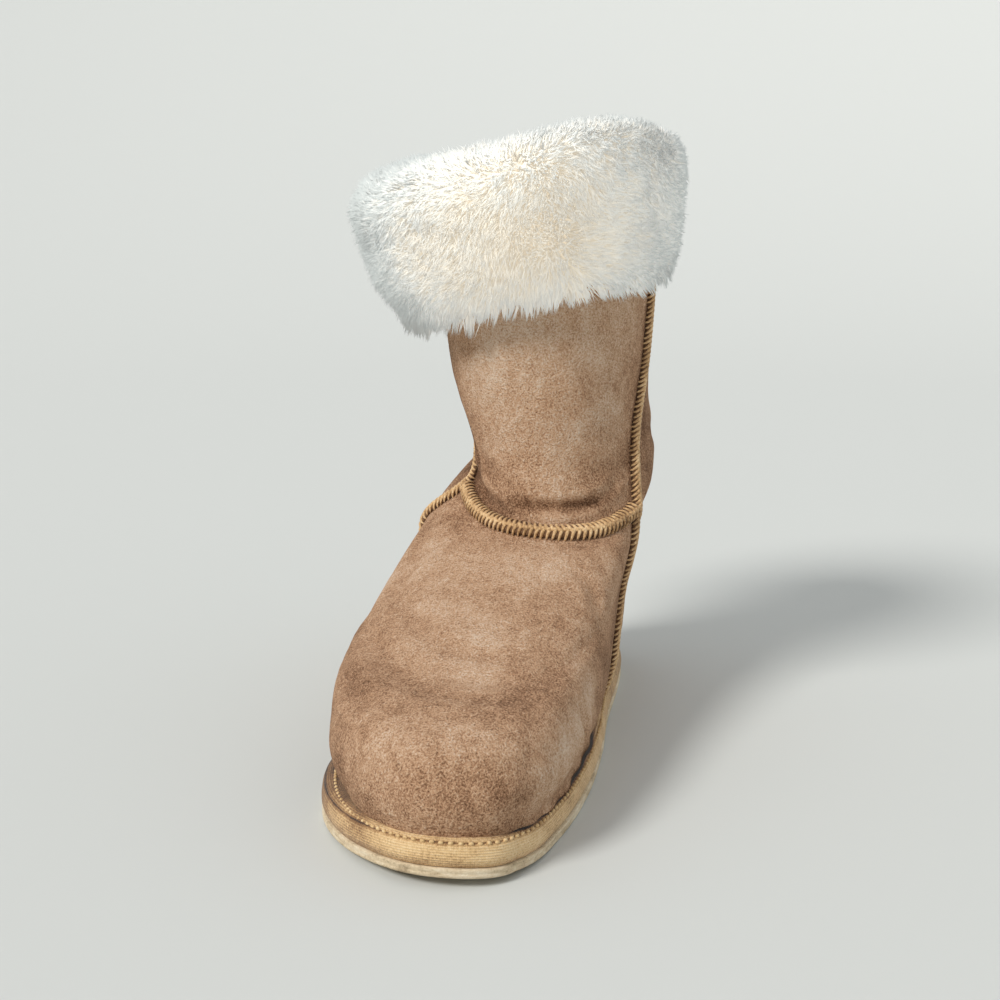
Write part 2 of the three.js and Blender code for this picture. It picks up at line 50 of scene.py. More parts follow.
TOE_SPRING, HEEL_SPRING, ARCH_RISE = 4, 1.2, 1.5
ANKLE_WIDTH, ANKLE_DEPTH = 71, 103
COLLAR_WIDTH, COLLAR_DEPTH, COLLAR_HEIGHT = 94, 118, 217
SHAFT_CENTRE_Y, ANKLE_SWAY, COLLAR_SWAY = 62, 2, -9
COLLAR_FORWARD, COLLAR_TILT = 8, 0.13
WALL, CLEARANCE, SEAM_CLEARANCE = 3, 0.3, 0.5
OUTSOLE_THICKNESS, PLATFORM_HEIGHT, INSOLE_THICKNESS = 3.3, 9.6, 5
INSTEP_SEAM_WIDTH, INSTEP_SEAM_HEIGHT = 6.4, 3
SIDE_SEAM_WIDTH, SIDE_SEAM_HEIGHT = 4.6, 2.2
CUFF_DROP, PILE_LATERAL, PILE_MEDIAL, LINING_PILE = 45, 24, 8, 5
GROOVE_WIDTH, GROOVE_DEPTH, GROOVE_PITCH, GROOVE_BORDER = 3.2, 1.4, 11, 9
LATERAL_SHARE = 0.6

PLATFORM_BASE = OUTSOLE_THICKNESS + CLEARANCE
PLATFORM_TOP = PLATFORM_BASE + PLATFORM_HEIGHT
FEATHER_Z = PLATFORM_TOP + CLEARANCE
FOOT_RISE = INSTEP_HEIGHT - FEATHER_Z
SHAFT_RISE = COLLAR_HEIGHT - INSTEP_HEIGHT
TURN = 2 * math.pi

# at, lateral, medial, middle
OUTLINE = np.array([
    (0.0, 1.1, 1.85, 0.045), (0.06, 1.2, 1.42, 0.042), (0.16, 1.22, 1.16, 0.03),
    (0.3, 1.1, 1.04, 0.006), (0.5, 0.82, 0.9, -0.02), (0.64, 0.7, 0.87, -0.055),
    (0.8, 0.78, 0.97, -0.078), (0.92, 0.93, 1.15, -0.085), (1.0, 1.16, 1.45, -0.088)])
SOLE_TOE, ARCH_FRONT, ARCH_BACK, SOLE_HEEL = -0.3, -0.08, 0.22, 0.4
# front, back, zFront, zBack, lateral, medial, foot
FOOT_SECTIONS = [
    (-0.482, 0.476, 0.0, 0.0, 0.553, 0.351, 1), (-0.493, 0.491, 0.07, 0.08, 0.57, 0.383, 1),
    (-0.489, 0.496, 0.2, 0.24, 0.585, 0.415, 0.98), (-0.462, 0.493, 0.35, 0.42, 0.582, 0.417, 0.92),
    (-0.392, 0.483, 0.47, 0.62, 0.597, 0.406, 0.82), (-0.288, 0.47, 0.585, 0.82, 0.595, 0.397, 0.66),
    (-0.162, 0.458, 0.74, 1.02, 0.57, 0.394, 0.46), (-0.045, 0.45, 0.9, 1.24, 0.53, 0.396, 0.24)]
# zFront, zBack, growth, forward, foot, tilt
SHAFT_SECTIONS = [
    (0.0, 0.26, 0.1, 0.018, 0.08, -0.45), (0.13, 0.35, -0.03, 0, 0, -0.15), (0.32, 0.46, 0.1, 0, 0, 0.1),
    (0.55, 0.62, 0.4, 0, 0, 0.5), (0.8, 0.82, 0.75, 0, 0, 0.85), (1.0, 1.0, 1, 0, 0, 1)]
SEAM_ROW = len(FOOT_SECTIONS)
SIDE_SEAM_PATH = np.array([(0.0, 0.08), (0.3, 0.1), (0.5, 0.125), (0.62, 0.145), (0.8, 0.2), (1.0, 0.215)])
SIDE_SEAM_FOOT, SIDE_SEAM_COVER = 0.35, 0.8
# angle, row, spread, reach, depth: the folds of the part's source
FOLDS = [
    (-96, 9.1, 34, 0.75, -1.3), (-72, 7.9, 28, 0.6, 1.1), (-70, 10.4, 30, 0.8, 0.9),
    (62, 9.6, 30, 0.7, -0.6), (8, 8.95, 46, 0.34, 0.6), (-6, 4.75, 62, 0.32, -0.5),
    (0, 3.6, 70, 0.8, 0.5), (44, 2.1, 20, 0.9, 0.9), (180, 8.2, 50, 0.6, -0.8)]
# up, inset
PLATFORM_SIDE = np.array([(0, 0.1), (0.25, -0.02), (0.62, 0.03), (0.87, 0.18), (1, 0.44)])
# face, up, out, hang
CUFF_SECTION = [
    (1, -1.03, 0.4, 0), (1, -0.96, 0.62, 0), (1, -0.72, 0.86, 0), (1, -0.4, 1.0, 0), (1, -0.1, 1.06, 0),
    (1, 0.11, 0.8, 0), (1, 0.19, 0.25, 0), (-1, 0.16, 0.5, 0), (-1, 0.0, 1.1, 0), (-1, -0.3, 0.9, 0),
    (-1, -0.36, 0.4, 0), (-1, -0.36, 0, 0), (-1, 0, 0, 0), (1, 0, 0, 0), (1, -0.34, 0, 0),
    (1, -0.6, 0, 1), (1, -0.98, 0, 1)]
# angle, spread, rise
CUFF_HUMPS = [(48, 42, 0.14), (150, 45, 0.1), (-105, 60, 0.1)]

# ---- surface functions
clamp01 = lambda k: np.clip(k, 0.0, 1.0)
lerp = lambda a, b, k: a + (b - a) * k
smooth = lambda k: k * k * (3 - 2 * k)
bell = lambda k: np.exp(-(k**2))
plateau = lambda k: np.exp(-(k**4))


def column(table, place):
    """Catmull-Rom reading of a column at fractional rows."""
    table = np.asarray(table, float)
    last = len(table) - 1
    at = np.clip(np.asarray(place, float), 0, last)
    i = np.minimum(last - 1, np.floor(at).astype(int))
    a, b, c, d = (table[np.clip(i + n, 0, last)] for n in (-1, 0, 1, 2))
    k = at - i
    return b + 0.5 * k * (c - a + k * (2 * a - 5 * b + 4 * c - d + k * (3 * (b - c) + d - a)))


def column_at(ats, values, at):
    i = np.clip(np.searchsorted(ats, at, side="right") - 1, 0, len(ats) - 2)
    return column(values, i + clamp01((at - ats[i]) / (ats[i + 1] - ats[i])))


def spring(y):
    toe = clamp01((SOLE_TOE - y / SOLE_LENGTH) / (0.5 + SOLE_TOE))
    heel = clamp01((y / SOLE_LENGTH - SOLE_HEEL) / (0.5 - SOLE_HEEL))
    return TOE_SPRING * toe**2 + HEEL_SPRING * heel**2


def arch(y):
    k = (y / SOLE_LENGTH - ARCH_FRONT) / (ARCH_BACK - ARCH_FRONT)
    return ARCH_RISE * np.where((k > 0) & (k < 1), np.sin(np.pi * k) ** 2, 0)


def fullness(side, t):
    return np.where(side > 0, column_at(OUTLINE[:, 0], OUTLINE[:, 2], t),
                    column_at(OUTLINE[:, 0], OUTLINE[:, 1], t))


middle = lambda t: column_at(OUTLINE[:, 0], OUTLINE[:, 3], t) * BALL_WIDTH
middle_line = lambda angle: middle((1 - np.cos(angle)) / 2)


def outline_point(angle, inset):
    def raw(a):
        t, s = (1 - np.cos(a)) / 2, np.sin(a)
        half = BALL_WIDTH * np.where(s > 0, 1 - LATERAL_SHARE, LATERAL_SHARE)
        return np.stack([middle(t) + half * s * fullness(s, t), SOLE_LENGTH * (t - 0.5)], -1)
    along = raw(angle + 0.03) - raw(angle - 0.03)
    along /= np.linalg.norm(along, axis=-1, keepdims=True)
    return raw(angle) + np.stack([-along[..., 1], along[..., 0]], -1) * np.asarray(inset)[..., None]


def sections():
    rows = []
    for front, back, z_front, z_back, lateral, medial, foot in FOOT_SECTIONS:
        rows.append((front * SOLE_LENGTH, back * SOLE_LENGTH, FEATHER_Z + z_front * FOOT_RISE,
                     FEATHER_Z + z_back * FOOT_RISE, lateral * BALL_WIDTH, medial * BALL_WIDTH, foot, 0, 0))
    for z_front, z_back, growth, forward, foot, tilt in SHAFT_SECTIONS:
        width = lerp(ANKLE_WIDTH, COLLAR_WIDTH, growth)
        depth = lerp(ANKLE_DEPTH, COLLAR_DEPTH, growth)
        centre = SHAFT_CENTRE_Y - COLLAR_FORWARD * z_front
        rows.append((centre - depth / 2 - forward * SOLE_LENGTH, centre + depth / 2,
                     INSTEP_HEIGHT + z_front * SHAFT_RISE, INSTEP_HEIGHT + z_back * SHAFT_RISE,
                     width / 2, width / 2, foot, lerp(ANKLE_SWAY, COLLAR_SWAY, z_front), COLLAR_TILT * tilt))
    return np.array(rows, float)


SECTIONS = sections()
FRONT, BACK, Z_FRONT, Z_BACK, LATERAL, MEDIAL, FOOT, SWAY, TILT = range(9)
LAST_ROW = len(SECTIONS) - 1
read = lambda name, row: column(SECTIONS[:, name], row)


def base_point(angle, row):
    angle, row = np.broadcast_arrays(np.asarray(angle, float), np.asarray(row, float))
    t, side = (1 - np.cos(angle)) / 2, np.sin(angle)
    y = lerp(read(FRONT, row), read(BACK, row), t)
    foot = clamp01(read(FOOT, row))
    half = np.where(side > 0, read(MEDIAL, row), read(LATERAL, row))
    x = half * side * lerp(1, fullness(side, t), foot) + foot * middle(t)
    z = lerp(read(Z_FRONT, row), read(Z_BACK, row), smooth(t)) + spring(y) + read(TILT, row) * x
    return np.stack([x + read(SWAY, row), y, z], -1)


def unit(v):
    return v / np.maximum(np.linalg.norm(v, axis=-1, keepdims=True), 1e-9)


def base_normal(angle, row):
    row = np.asarray(row, float)
    around = base_point(angle + 0.03, row) - base_point(angle - 0.03, row)
    rise = base_point(angle, np.minimum(LAST_ROW, row + 0.05)) - base_point(angle, np.maximum(0, row - 0.05))
    return unit(np.cross(around, rise))


def degrees_from(angle, direction):
    return (np.degrees(angle) - direction + 180) % 360 - 180


def fold_depth(angle, row):
    return WALL * sum(depth * bell(degrees_from(angle, at) / spread) * bell((row - fold_row) / reach)
                      for at, fold_row, spread, reach, depth in FOLDS)


def upper_point(angle, row, out):
    out = np.asarray(out) + fold_depth(angle, row)
    return base_point(angle, row) + base_normal(angle, row) * out[..., None]


def seam_angle(row):
    front, back = read(FRONT, row), read(BACK, row)
    y = column_at(SIDE_SEAM_PATH[:, 0], SIDE_SEAM_PATH[:, 1], np.asarray(row) / LAST_ROW) * SOLE_LENGTH
    return np.arccos(1 - 2 * clamp01((y - front) / (back - front)))


def round_angle(share, row):
    """Angle of a share of the way round: even in front of the side seams and behind them."""
    share = np.asarray(share, float) % 1
    mirrored = share > 0.5
    j = np.where(mirrored, 1 - share, share) * 4
    seam = seam_angle(row)
    angle = np.where(j <= 1, seam * j, seam + (np.pi - seam) * (j - 1))
    return np.where(mirrored, TURN - angle, angle)


def row_below(drop):
    rows = np.linspace(0, LAST_ROW, 4000)
    heights = read(Z_FRONT, rows)
    return np.interp(COLLAR_HEIGHT - np.asarray(drop, float), heights, rows)


# ---- soft noise, repeatable
def hashed(cell, seed):
    h = cell[..., 0] * 374761393 + cell[..., 1] * 668265263 + cell[..., 2] * 2147483647 + seed * 974711
    h = (h ^ (h >> 13)) * 1274126177
    h = h ^ (h >> 16)
    return (h & 0xFFFF).astype(float) / 0xFFFF


def soft_noise(points, size, seed):
    """Smooth noise from -1 to 1 with lumps of about the given size."""
    p = np.asarray(points, float) / size + 100.5
    cell = np.floor(p).astype(np.int64)
    k = smooth(p - cell)
    total = 0
    for corner in np.ndindex(2, 2, 2):
        x, y, z = (k[..., i] if far else 1 - k[..., i] for i, far in enumerate(corner))
        total = total + x * y * z * hashed(cell + np.array(corner), seed)
    return total * 2 - 1


# ---- meshes
# The solids are centred on the floor by their corners, which the part's source makes with this many
# columns. The pieces here move by as much.
CAD_COLUMNS = 48
ring_angles = TURN * np.arange(CAD_COLUMNS) / CAD_COLUMNS
ring_x = [outline_point(ring_angles, inset * PLATFORM_HEIGHT)[:, 0].min() for inset in PLATFORM_SIDE[:, 1]]
CENTRING = np.array([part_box("platform")[0][0] * 1000 - min(ring_x), 0.0, 0.0])


def new_mesh(name, points, faces, material, uvs=None, tone=None):
    """A smooth mesh from points in metres and one array of faces or a list of them."""
    mesh = bpy.data.meshes.new(name)
    points = np.asarray(points, float).reshape(-1, 3)
    faces = [np.atleast_2d(f) for f in (faces if isinstance(faces, list) else [faces])]
    loops = np.concatenate([f.ravel() for f in faces])
    totals = np.concatenate([np.full(len(f), f.shape[1]) for f in faces])
    starts = np.concatenate([[0], np.cumsum(totals)[:-1]])
    mesh.vertices.add(len(points))
    mesh.vertices.foreach_set("co", points.ravel())
    mesh.loops.add(len(loops))
    mesh.loops.foreach_set("vertex_index", loops.astype(np.int32))
    mesh.polygons.add(len(totals))
    mesh.polygons.foreach_set("loop_start", starts.astype(np.int32))
    mesh.polygons.foreach_set("use_smooth", np.full(len(totals), True))
    if uvs is not None:
        layer = mesh.uv_layers.new(name="UVMap")
        layer.data.foreach_set("uv", np.asarray(uvs, float).reshape(-1, 2)[loops].ravel())
    if tone is not None:
        attribute = mesh.attributes.new("tone", "FLOAT", "POINT")
        attribute.data.foreach_set("value", np.asarray(tone, float).ravel())
    mesh.update(calc_edges=True)
    mesh.validate()
    mesh.materials.append(material)
    return mesh


def new_object(name, data):
    thing = bpy.data.objects.new(name, data)
    bpy.context.scene.collection.objects.link(thing)
    return thing


def make_piece(name, points, faces, material, node, slot, **values):
    """A mesh piece from points in millimetres, riding on the body."""
    points = (np.asarray(points, float).reshape(-1, 3) + CENTRING) / 1000
    piece = new_object(name, new_mesh(name, points, faces, material, **values))
    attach(piece, "root")
    if node:
        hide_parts(node)
    return piece


def grid_faces(rings, count, closed_round=True, loop=False):
    """Quads between rings of points, each ring of the same count."""
    r = np.arange(rings if loop else rings - 1)
    c = np.arange(count if closed_round else count - 1)
    r, c = np.meshgrid(r, c, indexing="ij")
    at = lambda ring, i: (ring % rings) * count + i % count
    return np.stack([at(r, c), at(r, c + 1), at(r + 1, c + 1), at(r + 1, c)], -1).reshape(-1, 4)


def walked(path):
    """The length of a path of points up to each of them."""
    return np.append(0, np.cumsum(np.linalg.norm(np.diff(path, axis=0), axis=1)))


def read_path(walk, points, at):
    """A path's values at lengths along it."""
    return np.column_stack([np.interp(at, walk, points[:, i]) for i in range(3)])


def tubes(paths, radii, sides, ups=(0, 0, 1), flatten=1.0):
    """Tubes with closed ends along paths of shape (n, steps, 3)."""
    n, steps, _ = paths.shape
    tangent = unit(np.gradient(paths, axis=1))
    side = unit(np.cross(tangent, np.broadcast_to(np.array(ups, float), paths.shape)))
    up = np.cross(side, tangent)
    a = TURN * np.arange(sides) / sides
    ring = side[:, :, None, :] * np.cos(a)[:, None] + up[:, :, None, :] * (np.sin(a) * flatten)[:, None]
    points = paths[:, :, None, :] + ring * np.broadcast_to(radii, (n, steps))[:, :, None, None]
    first = (np.arange(n) * steps * sides)[:, None]
    faces = (grid_faces(steps, sides)[None] + first[:, None]).reshape(-1, 4)
    cap = np.arange(sides)
    ends = np.concatenate([cap[::-1] + first, cap + (steps - 1) * sides + first])
    return points.reshape(-1, 3), [faces[:, ::-1], ends[:, ::-1]]


# ---- materials
def srgb(r, g, b):
    def one(c):
        c /= 255
        return c / 12.92 if c <= 0.04045 else ((c + 0.055) / 1.055) ** 2.4
    return (one(r), one(g), one(b), 1.0)


class Graph:
    """A small builder of shader nodes."""

    def __init__(self, name):
        self.material = bpy.data.materials.new(name)
        self.material.use_nodes = True
        self.tree = self.material.node_tree
        self.shader = self.tree.nodes["Principled BSDF"]
        self.coordinates = self.tree.nodes.new("ShaderNodeTexCoord")

    def node(self, kind, inputs=None, **settings):
        node = self.tree.nodes.new(kind)
        for key, value in settings.items():
            setattr(node, key, value)
        for key, value in (inputs or {}).items():
            self.put(node.inputs[key], value)
        return node

    def put(self, socket, value):
        if isinstance(value, bpy.types.NodeSocket):
            self.tree.links.new(value, socket)
        else:
            socket.default_value = value

    def place(self, scale, turn=(0, 0, 0)):
        return self.node("ShaderNodeMapping", {"Vector": self.coordinates.outputs["Object"],
                                               "Scale": scale, "Rotation": turn}).outputs[0]

    def noise(self, scale, detail=3, rough=0.5, vector=None, distortion=0.0):
        node = self.node("ShaderNodeTexNoise", {"Scale": scale, "Detail": detail, "Roughness": rough,
                                                "Distortion": distortion,
                                                "Vector": vector or self.coordinates.outputs["Object"]})
        return node.outputs["Fac"]

    def math(self, operation, a, b=0.0):
        return self.node("ShaderNodeMath", {0: a, 1: b}, operation=operation).outputs[0]

    def swing(self, value, weight):
        """(value - 0.5) * weight."""
        return self.math("MULTIPLY", self.math("SUBTRACT", value, 0.5), weight)

    def share(self, value):
        """A value from -1 to 1 brought to 0 to 1."""
        return self.math("ADD", self.math("MULTIPLY", value, 0.5), 0.5)

    def wave(self, value, pitch):
        return self.share(self.math("SINE", self.math("MULTIPLY", value, TURN / pitch)))

    def weigh(self, *terms):
        """0.5 and the sum of (value - 0.5) * weight."""
        total = 0.5
        for value, weight in terms:
            total = self.math("ADD", self.swing(value, weight), total)
        return total

    def ramp(self, value, *stops):
        """Colours over a value. A stop is its place, then red, green and blue up to 255."""
        node = self.node("ShaderNodeValToRGB", {"Fac": value})
        elements = node.color_ramp.elements
        while len(elements) < len(stops):
            elements.new(0.5)
        for element, (position, *colour) in zip(elements, stops):
            element.position, element.color = position, srgb(*colour)
        return node.outputs["Color"]

    def tone(self):
        return self.share(self.node("ShaderNodeAttribute", attribute_name="tone").outputs["Fac"])

    def bump(self, height, distance, strength=1.0, normal=None):
        inputs = {"Height": height, "Distance": distance, "Strength": strength}
        if normal:
            inputs["Normal"] = normal
        return self.node("ShaderNodeBump", inputs).outputs[0]

    def finish(self, **inputs):
        for key, value in inputs.items():
            self.put(self.shader.inputs[key.replace("_", " ")], value)
        return self.material


def suede_material():
    g = Graph("suede")
    swirl = g.place(scale=(1, 1, 0.6), turn=(0.2, 0.3, 0.5))
    broad = g.noise(24, 4, 0.6, distortion=0.6)
    brushed = g.noise(95, 6, 0.68, swirl, distortion=1.2)
    tufts = g.noise(420, 4, 0.6)
    speck = g.noise(1450, 2, 0.75)
    # The tone attribute brings the listed lighter and darker places of the nap, painted light and shade among
    # them.
    level = g.weigh((g.tone(), 1.05), (broad, 0.8), (brushed, 0.6), (tufts, 0.3), (speck, 1.5))
    colour = g.ramp(level, (0.05, 96, 65, 44), (0.3, 148, 111, 84), (0.5, 190, 149, 116),
                    (0.7, 210, 175, 145), (0.95, 228, 206, 184))
    nap = g.bump(g.weigh((tufts, 0.5), (speck, 1.0)), 0.0012, 1.0)
    coarse = g.bump(brushed, 0.0012, 0.35, nap)
    return g.finish(Base_Color=colour, Roughness=0.97, Normal=coarse, Sheen_Weight=0.1, Sheen_Roughness=0.45,
                    Sheen_Tint=srgb(226, 205, 184), Specular_IOR_Level=0.12)


def thread_material(name, dark, middle, light):
    g = Graph(name)
    strand = g.noise(900, 3, 0.6)
    patch = g.noise(110, 3, 0.5)
    colour = g.ramp(g.weigh((strand, 1.1), (patch, 0.7)), (0.15, *dark), (0.5, *middle),
                    (0.85, *light))
    return g.finish(Base_Color=colour, Roughness=0.72, Normal=g.bump(strand, 0.0004, 0.6), Sheen_Weight=0.2,
                    Sheen_Roughness=0.4)


def seam_cloth_material():
    g = Graph("seam_core")
    fuzz = g.noise(800, 4, 0.65)
    colour = g.ramp(fuzz, (0.2, 84, 58, 38), (0.8, 136, 102, 72))
    return g.finish(Base_Color=colour, Roughness=0.95, Normal=g.bump(fuzz, 0.0004, 0.7))


RIB_PITCH, WEFT_PITCH = 0.85, 0.7


def cloth_material():
    g = Graph("ribbed_cloth")
    uv = g.node("ShaderNodeSeparateXYZ", {"Vector": g.coordinates.outputs["UV"]})
    wobble = g.swing(g.noise(300, 3, 0.5), 0.7)
    ribs = g.wave(g.math("ADD", uv.outputs["Y"], g.math("MULTIPLY", wobble, 0.25)), RIB_PITCH)
    weft = g.wave(g.math("ADD", uv.outputs["X"], wobble), WEFT_PITCH)
    weave = g.math("MULTIPLY", ribs, g.math("ADD", g.math("MULTIPLY", weft, 0.55), 0.45))
    stain = g.noise(48, 4, 0.6, distortion=0.5)
    fleck = g.noise(1400, 2, 0.6)
    # The tone attribute brings the listed darker and lighter places of the cloth, painted shade among them.
    level = g.weigh((g.tone(), 0.9), (weave, 0.15), (stain, 0.7), (fleck, 0.6))
    colour = g.ramp(level, (0.0, 34, 22, 14), (0.12, 88, 58, 34), (0.35, 152, 113, 72),
                    (0.58, 216, 180, 130), (0.9, 240, 216, 174))
    bump = g.bump(g.weigh((weave, 0.6), (fleck, 0.5)), 0.0005, 0.8)
    return g.finish(Base_Color=colour, Roughness=0.9, Normal=bump, Sheen_Weight=0.15, Sheen_Roughness=0.5)


def sole_material():
    g = Graph("sole_rubber")
    scuff = g.noise(180, 5, 0.7, g.place(scale=(1, 1, 3)))
    grain = g.noise(1600, 2, 0.5)
    dirt = g.noise(40, 4, 0.6)
    colour = g.ramp(g.weigh((scuff, 1.1), (dirt, 0.9), (grain, 0.4)), (0.15, 136, 115, 88),
                    (0.45, 204, 184, 152), (0.8, 232, 220, 196))
    bump = g.bump(g.weigh((scuff, 0.5), (grain, 0.5)), 0.0004, 0.5)
    return g.finish(Base_Color=colour, Roughness=0.82, Normal=bump)


# A low glow stands for the light that scatters through white pile.
FUR_GLOW = 0.34


def fur_material(name="fur_hair", rooted=True):
    g = Graph(name)
    uv = g.node("ShaderNodeSeparateXYZ", {"Vector": g.coordinates.outputs["UV"]})
    patch = g.noise(55, 3, 0.5)
    if rooted:
        # U carries each hair's tint with its painted light and shade, V runs from root to tip.
        level = g.math("ADD", uv.outputs["Y"], g.swing(uv.outputs["X"], 0.35))
        level = g.math("ADD", level, g.swing(patch, 0.3))
    else:
        level = g.math("MULTIPLY", patch, 0.4)
    colour = g.ramp(level, (0.0, 242, 232, 214), (0.4, 244, 237, 223), (0.75, 232, 233, 229),
                    (1.0, 202, 207, 205))
    return g.finish(Base_Color=colour, Roughness=0.85, Sheen_Weight=0.12, Sheen_Roughness=0.5,
                    Specular_IOR_Level=0.25, Emission_Color=colour, Emission_Strength=FUR_GLOW)


def fleece_material():
    g = Graph("fleece_pile")
    curls = g.noise(260, 5, 0.7, distortion=0.8)
    fine = g.noise(1100, 3, 0.6)
    pile = g.weigh((curls, 0.8), (fine, 0.5))
    colour = g.ramp(pile, (0.2, 200, 189, 166), (0.55, 236, 229, 212), (0.85, 248, 245, 236))
    return g.finish(Base_Color=colour, Roughness=0.97, Normal=g.bump(pile, 0.0016, 0.9),
                    Sheen_Weight=0.2, Sheen_Roughness=0.5)


SUEDE = suede_material()
THREAD = thread_material("seam_thread", (124, 88, 52), (200, 161, 113), (240, 211, 166))
RAND_THREAD = thread_material("rand_thread", (160, 122, 78), (212, 177, 126), (236, 210, 164))
SEAM_CORE = seam_cloth_material()
CLOTH = cloth_material()
RUBBER = sole_material()
HAIR = fur_material()
WOOL = fur_material("fur_wool", rooted=False)
FLEECE = fleece_material()

# ---- upper
# Creases: points (angle in degrees, row), width and depth in millimetres. A positive
# depth is a trough with soft lips, a negative one a ridge.
CREASES = [
    ([(-74, 8.75), (-55, 8.62), (-36, 8.42), (-14, 8.3)], 3.2, 1.5),
    ([(-14, 8.64), (10, 8.58), (32, 8.62), (56, 8.84)], 2.3, 1.5),
    ([(-44, 9.35), (-30, 9.1), (-14, 8.95)], 3.6, 0.8),
    ([(20, 9.3), (42, 9.1), (64, 9.0), (84, 9.1)], 4.5, 0.9),
    ([(-62, 10.3), (-56, 9.6), (-50, 9.0), (-40, 8.5)], 3.2, 1.2),
    ([(-44, 5.9), (-20, 5.35), (8, 5.2), (34, 5.5)], 5.0, 0.8),
    ([(-30, 4.6), (-8, 4.35), (18, 4.3), (40, 4.6)], 4.0, 0.7),
    ([(-62, 4.2), (-44, 3.8), (-26, 3.5)], 4.2, 0.8),
    ([(30, 6.7), (46, 6.1), (58, 5.2)], 3.6, 0.8),
    ([(-66, 7.0), (-54, 6.4), (-48, 5.6)], 4.4, 0.9),
    ([(48, 3.6), (58, 2.6), (60, 1.4)], 3.4, 1.1),
    ([(36, 2.9), (44, 1.9), (45, 0.9)], 2.8, 0.9),
    ([(66, 3.0), (74, 2.0), (76, 1.0)], 3.2, 0.9),
    ([(52, 1.5), (56, 0.7)], 2.0, 0.9),
    ([(104, 8.6), (122, 8.2), (146, 8.0), (178, 7.9)], 4.0, 1.2),
    ([(-104, 8.5), (-124, 8.1), (-150, 7.9), (-178, 7.9)], 4.0, 1.2),
    ([(110, 9.6), (136, 9.2), (168, 9.1)], 4.5, 0.9),
    ([(-108, 9.9), (-132, 9.4), (-160, 9.2)], 4.5, 0.9),
    ([(112, 5.0), (134, 4.4), (160, 4.2)], 5.5, 0.7),
    ([(-110, 5.2), (-128, 4.6), (-150, 4.3)], 5.5, 0.7),
    ([(-86, 3.0), (-70, 2.4), (-52, 2.1)], 4.5, 0.6),
    ([(30, 10.8), (48, 10.3), (62, 10.2)], 5.0, 0.6),
    ([(-58, 11.6), (-40, 11.1), (-22, 10.9)], 5.0, 0.6),
    ([(-20, 2.2), (4, 2.05), (24, 2.2)], 6.0, 0.4),
]
# Lighter and darker places of the nap: angle, row, spread, reach, tone. The darker bands in the creases, the
# darker sides of the foot and the shaft, the darker lower edge, lower toe and outer toe, and the lighter
# front of the shaft are painted light and shade.
TONES = [
    (0, 4.2, 60, 0.5, -0.2), (30, 2.6, 26, 0.8, 0.28), (-40, 2.2, 26, 0.8, 0.2), (8, 3.3, 40, 0.4, 0.16),
    (12, 6.8, 30, 0.5, 0.24), (-34, 6.2, 16, 0.7, 0.14), (-70, 9.6, 24, 1.6, -0.85),
    (-88, 8.3, 20, 0.6, -0.35), (10, 9.2, 26, 0.5, 0.1), (6, 10.6, 30, 0.7, -0.14),
    (24, 8.62, 40, 0.1, -0.45), (-20, 8.4, 40, 0.2, -0.25), (58, 5.0, 14, 1.6, 0.12),
    (70, 2.2, 14, 1.2, -0.3), (-66, 3.6, 16, 1.6, -0.16), (180, 4.0, 40, 1.4, 0.14),
    (150, 8.0, 40, 0.6, -0.2), (-150, 8.0, 40, 0.6, -0.2), (0, 0.3, 180, 0.3, -0.12),
    (88, 6.0, 10, 4.0, -0.2), (-90, 5.0, 12, 4.0, -0.15), (0, 1.5, 80, 1.4, -0.28),
    (-50, 1.8, 20, 1.2, -0.2), (-50, 1.5, 16, 0.8, 0.15), (54, 2.7, 11, 0.8, 0.6),
    (46, 1.4, 16, 0.9, 0.25), (0, 11.3, 110, 1.7, 0.5), (10, 6.0, 60, 1.2, 0.14),
    (86, 10.0, 14, 3.0, -0.3), (-86, 10.4, 12, 3.0, -0.3),
]


def crease_offset(points):
    """How far the creases move each point along its normal, which also sets the painted shade in their
    troughs.
    """
    shape = points.shape[:-1]
    flat = points.reshape(-1, 3)
    total = np.zeros(len(flat))
    for path, width, depth in CREASES:
        path = np.array(path, float)
        t = np.linspace(0, len(path) - 1, 40)
        angles, rows = column(path[:, 0], t), column(path[:, 1], t)
        line = upper_point(np.radians(angles), rows, np.zeros_like(t))
        reach = width * 3.5
        near = np.all((flat > line.min(0) - reach) & (flat < line.max(0) + reach), axis=1)
        if not near.any():
            continue
        gap = flat[near][:, None, :] - line[None]
        square = (gap**2).sum(-1)
        nearest = square.argmin(1)
        distance = np.sqrt(square[np.arange(len(nearest)), nearest]) / width
        fade = np.sin(np.pi * clamp01((nearest + 0.5) / len(t))) ** 0.6
        total[near] -= depth * fade * (np.exp(-distance**2) - 0.45 * np.exp(-((distance - 1.7) / 0.8) ** 2))
    return total.reshape(shape)


SEAM_REACH = 4.0


def near_seams(points):
    """1 on the seams' lines, falling to 0 away from them."""
    rows = np.linspace(0, LAST_ROW, 160)
    front = np.linspace(-1, 1, 90) * seam_angle(SEAM_ROW)
    sides = [upper_point(sign * seam_angle(rows), rows, 0) for sign in (-1, 1)]
    line = np.concatenate(sides + [upper_point(front, SEAM_ROW, 0)])
    tree = mathutils.kdtree.KDTree(len(line))
    for i, place in enumerate(line):
        tree.insert(place, i)
    tree.balance()
    gaps = np.array([tree.find(place)[2] for place in points.reshape(-1, 3)])
    return plateau(gaps / SEAM_REACH).reshape(points.shape[:-1])


def tone_at(angle, row, table=TONES):
    return sum(tone * bell(degrees_from(angle, at) / spread) * bell((row - level) / reach)
               for at, level, spread, reach, tone in table)


DRAWN_IN, DRAWN_IN_AT, DRAWN_IN_SPREAD, DRAWN_IN_REACH = 3.2, -55, 26, 1.7
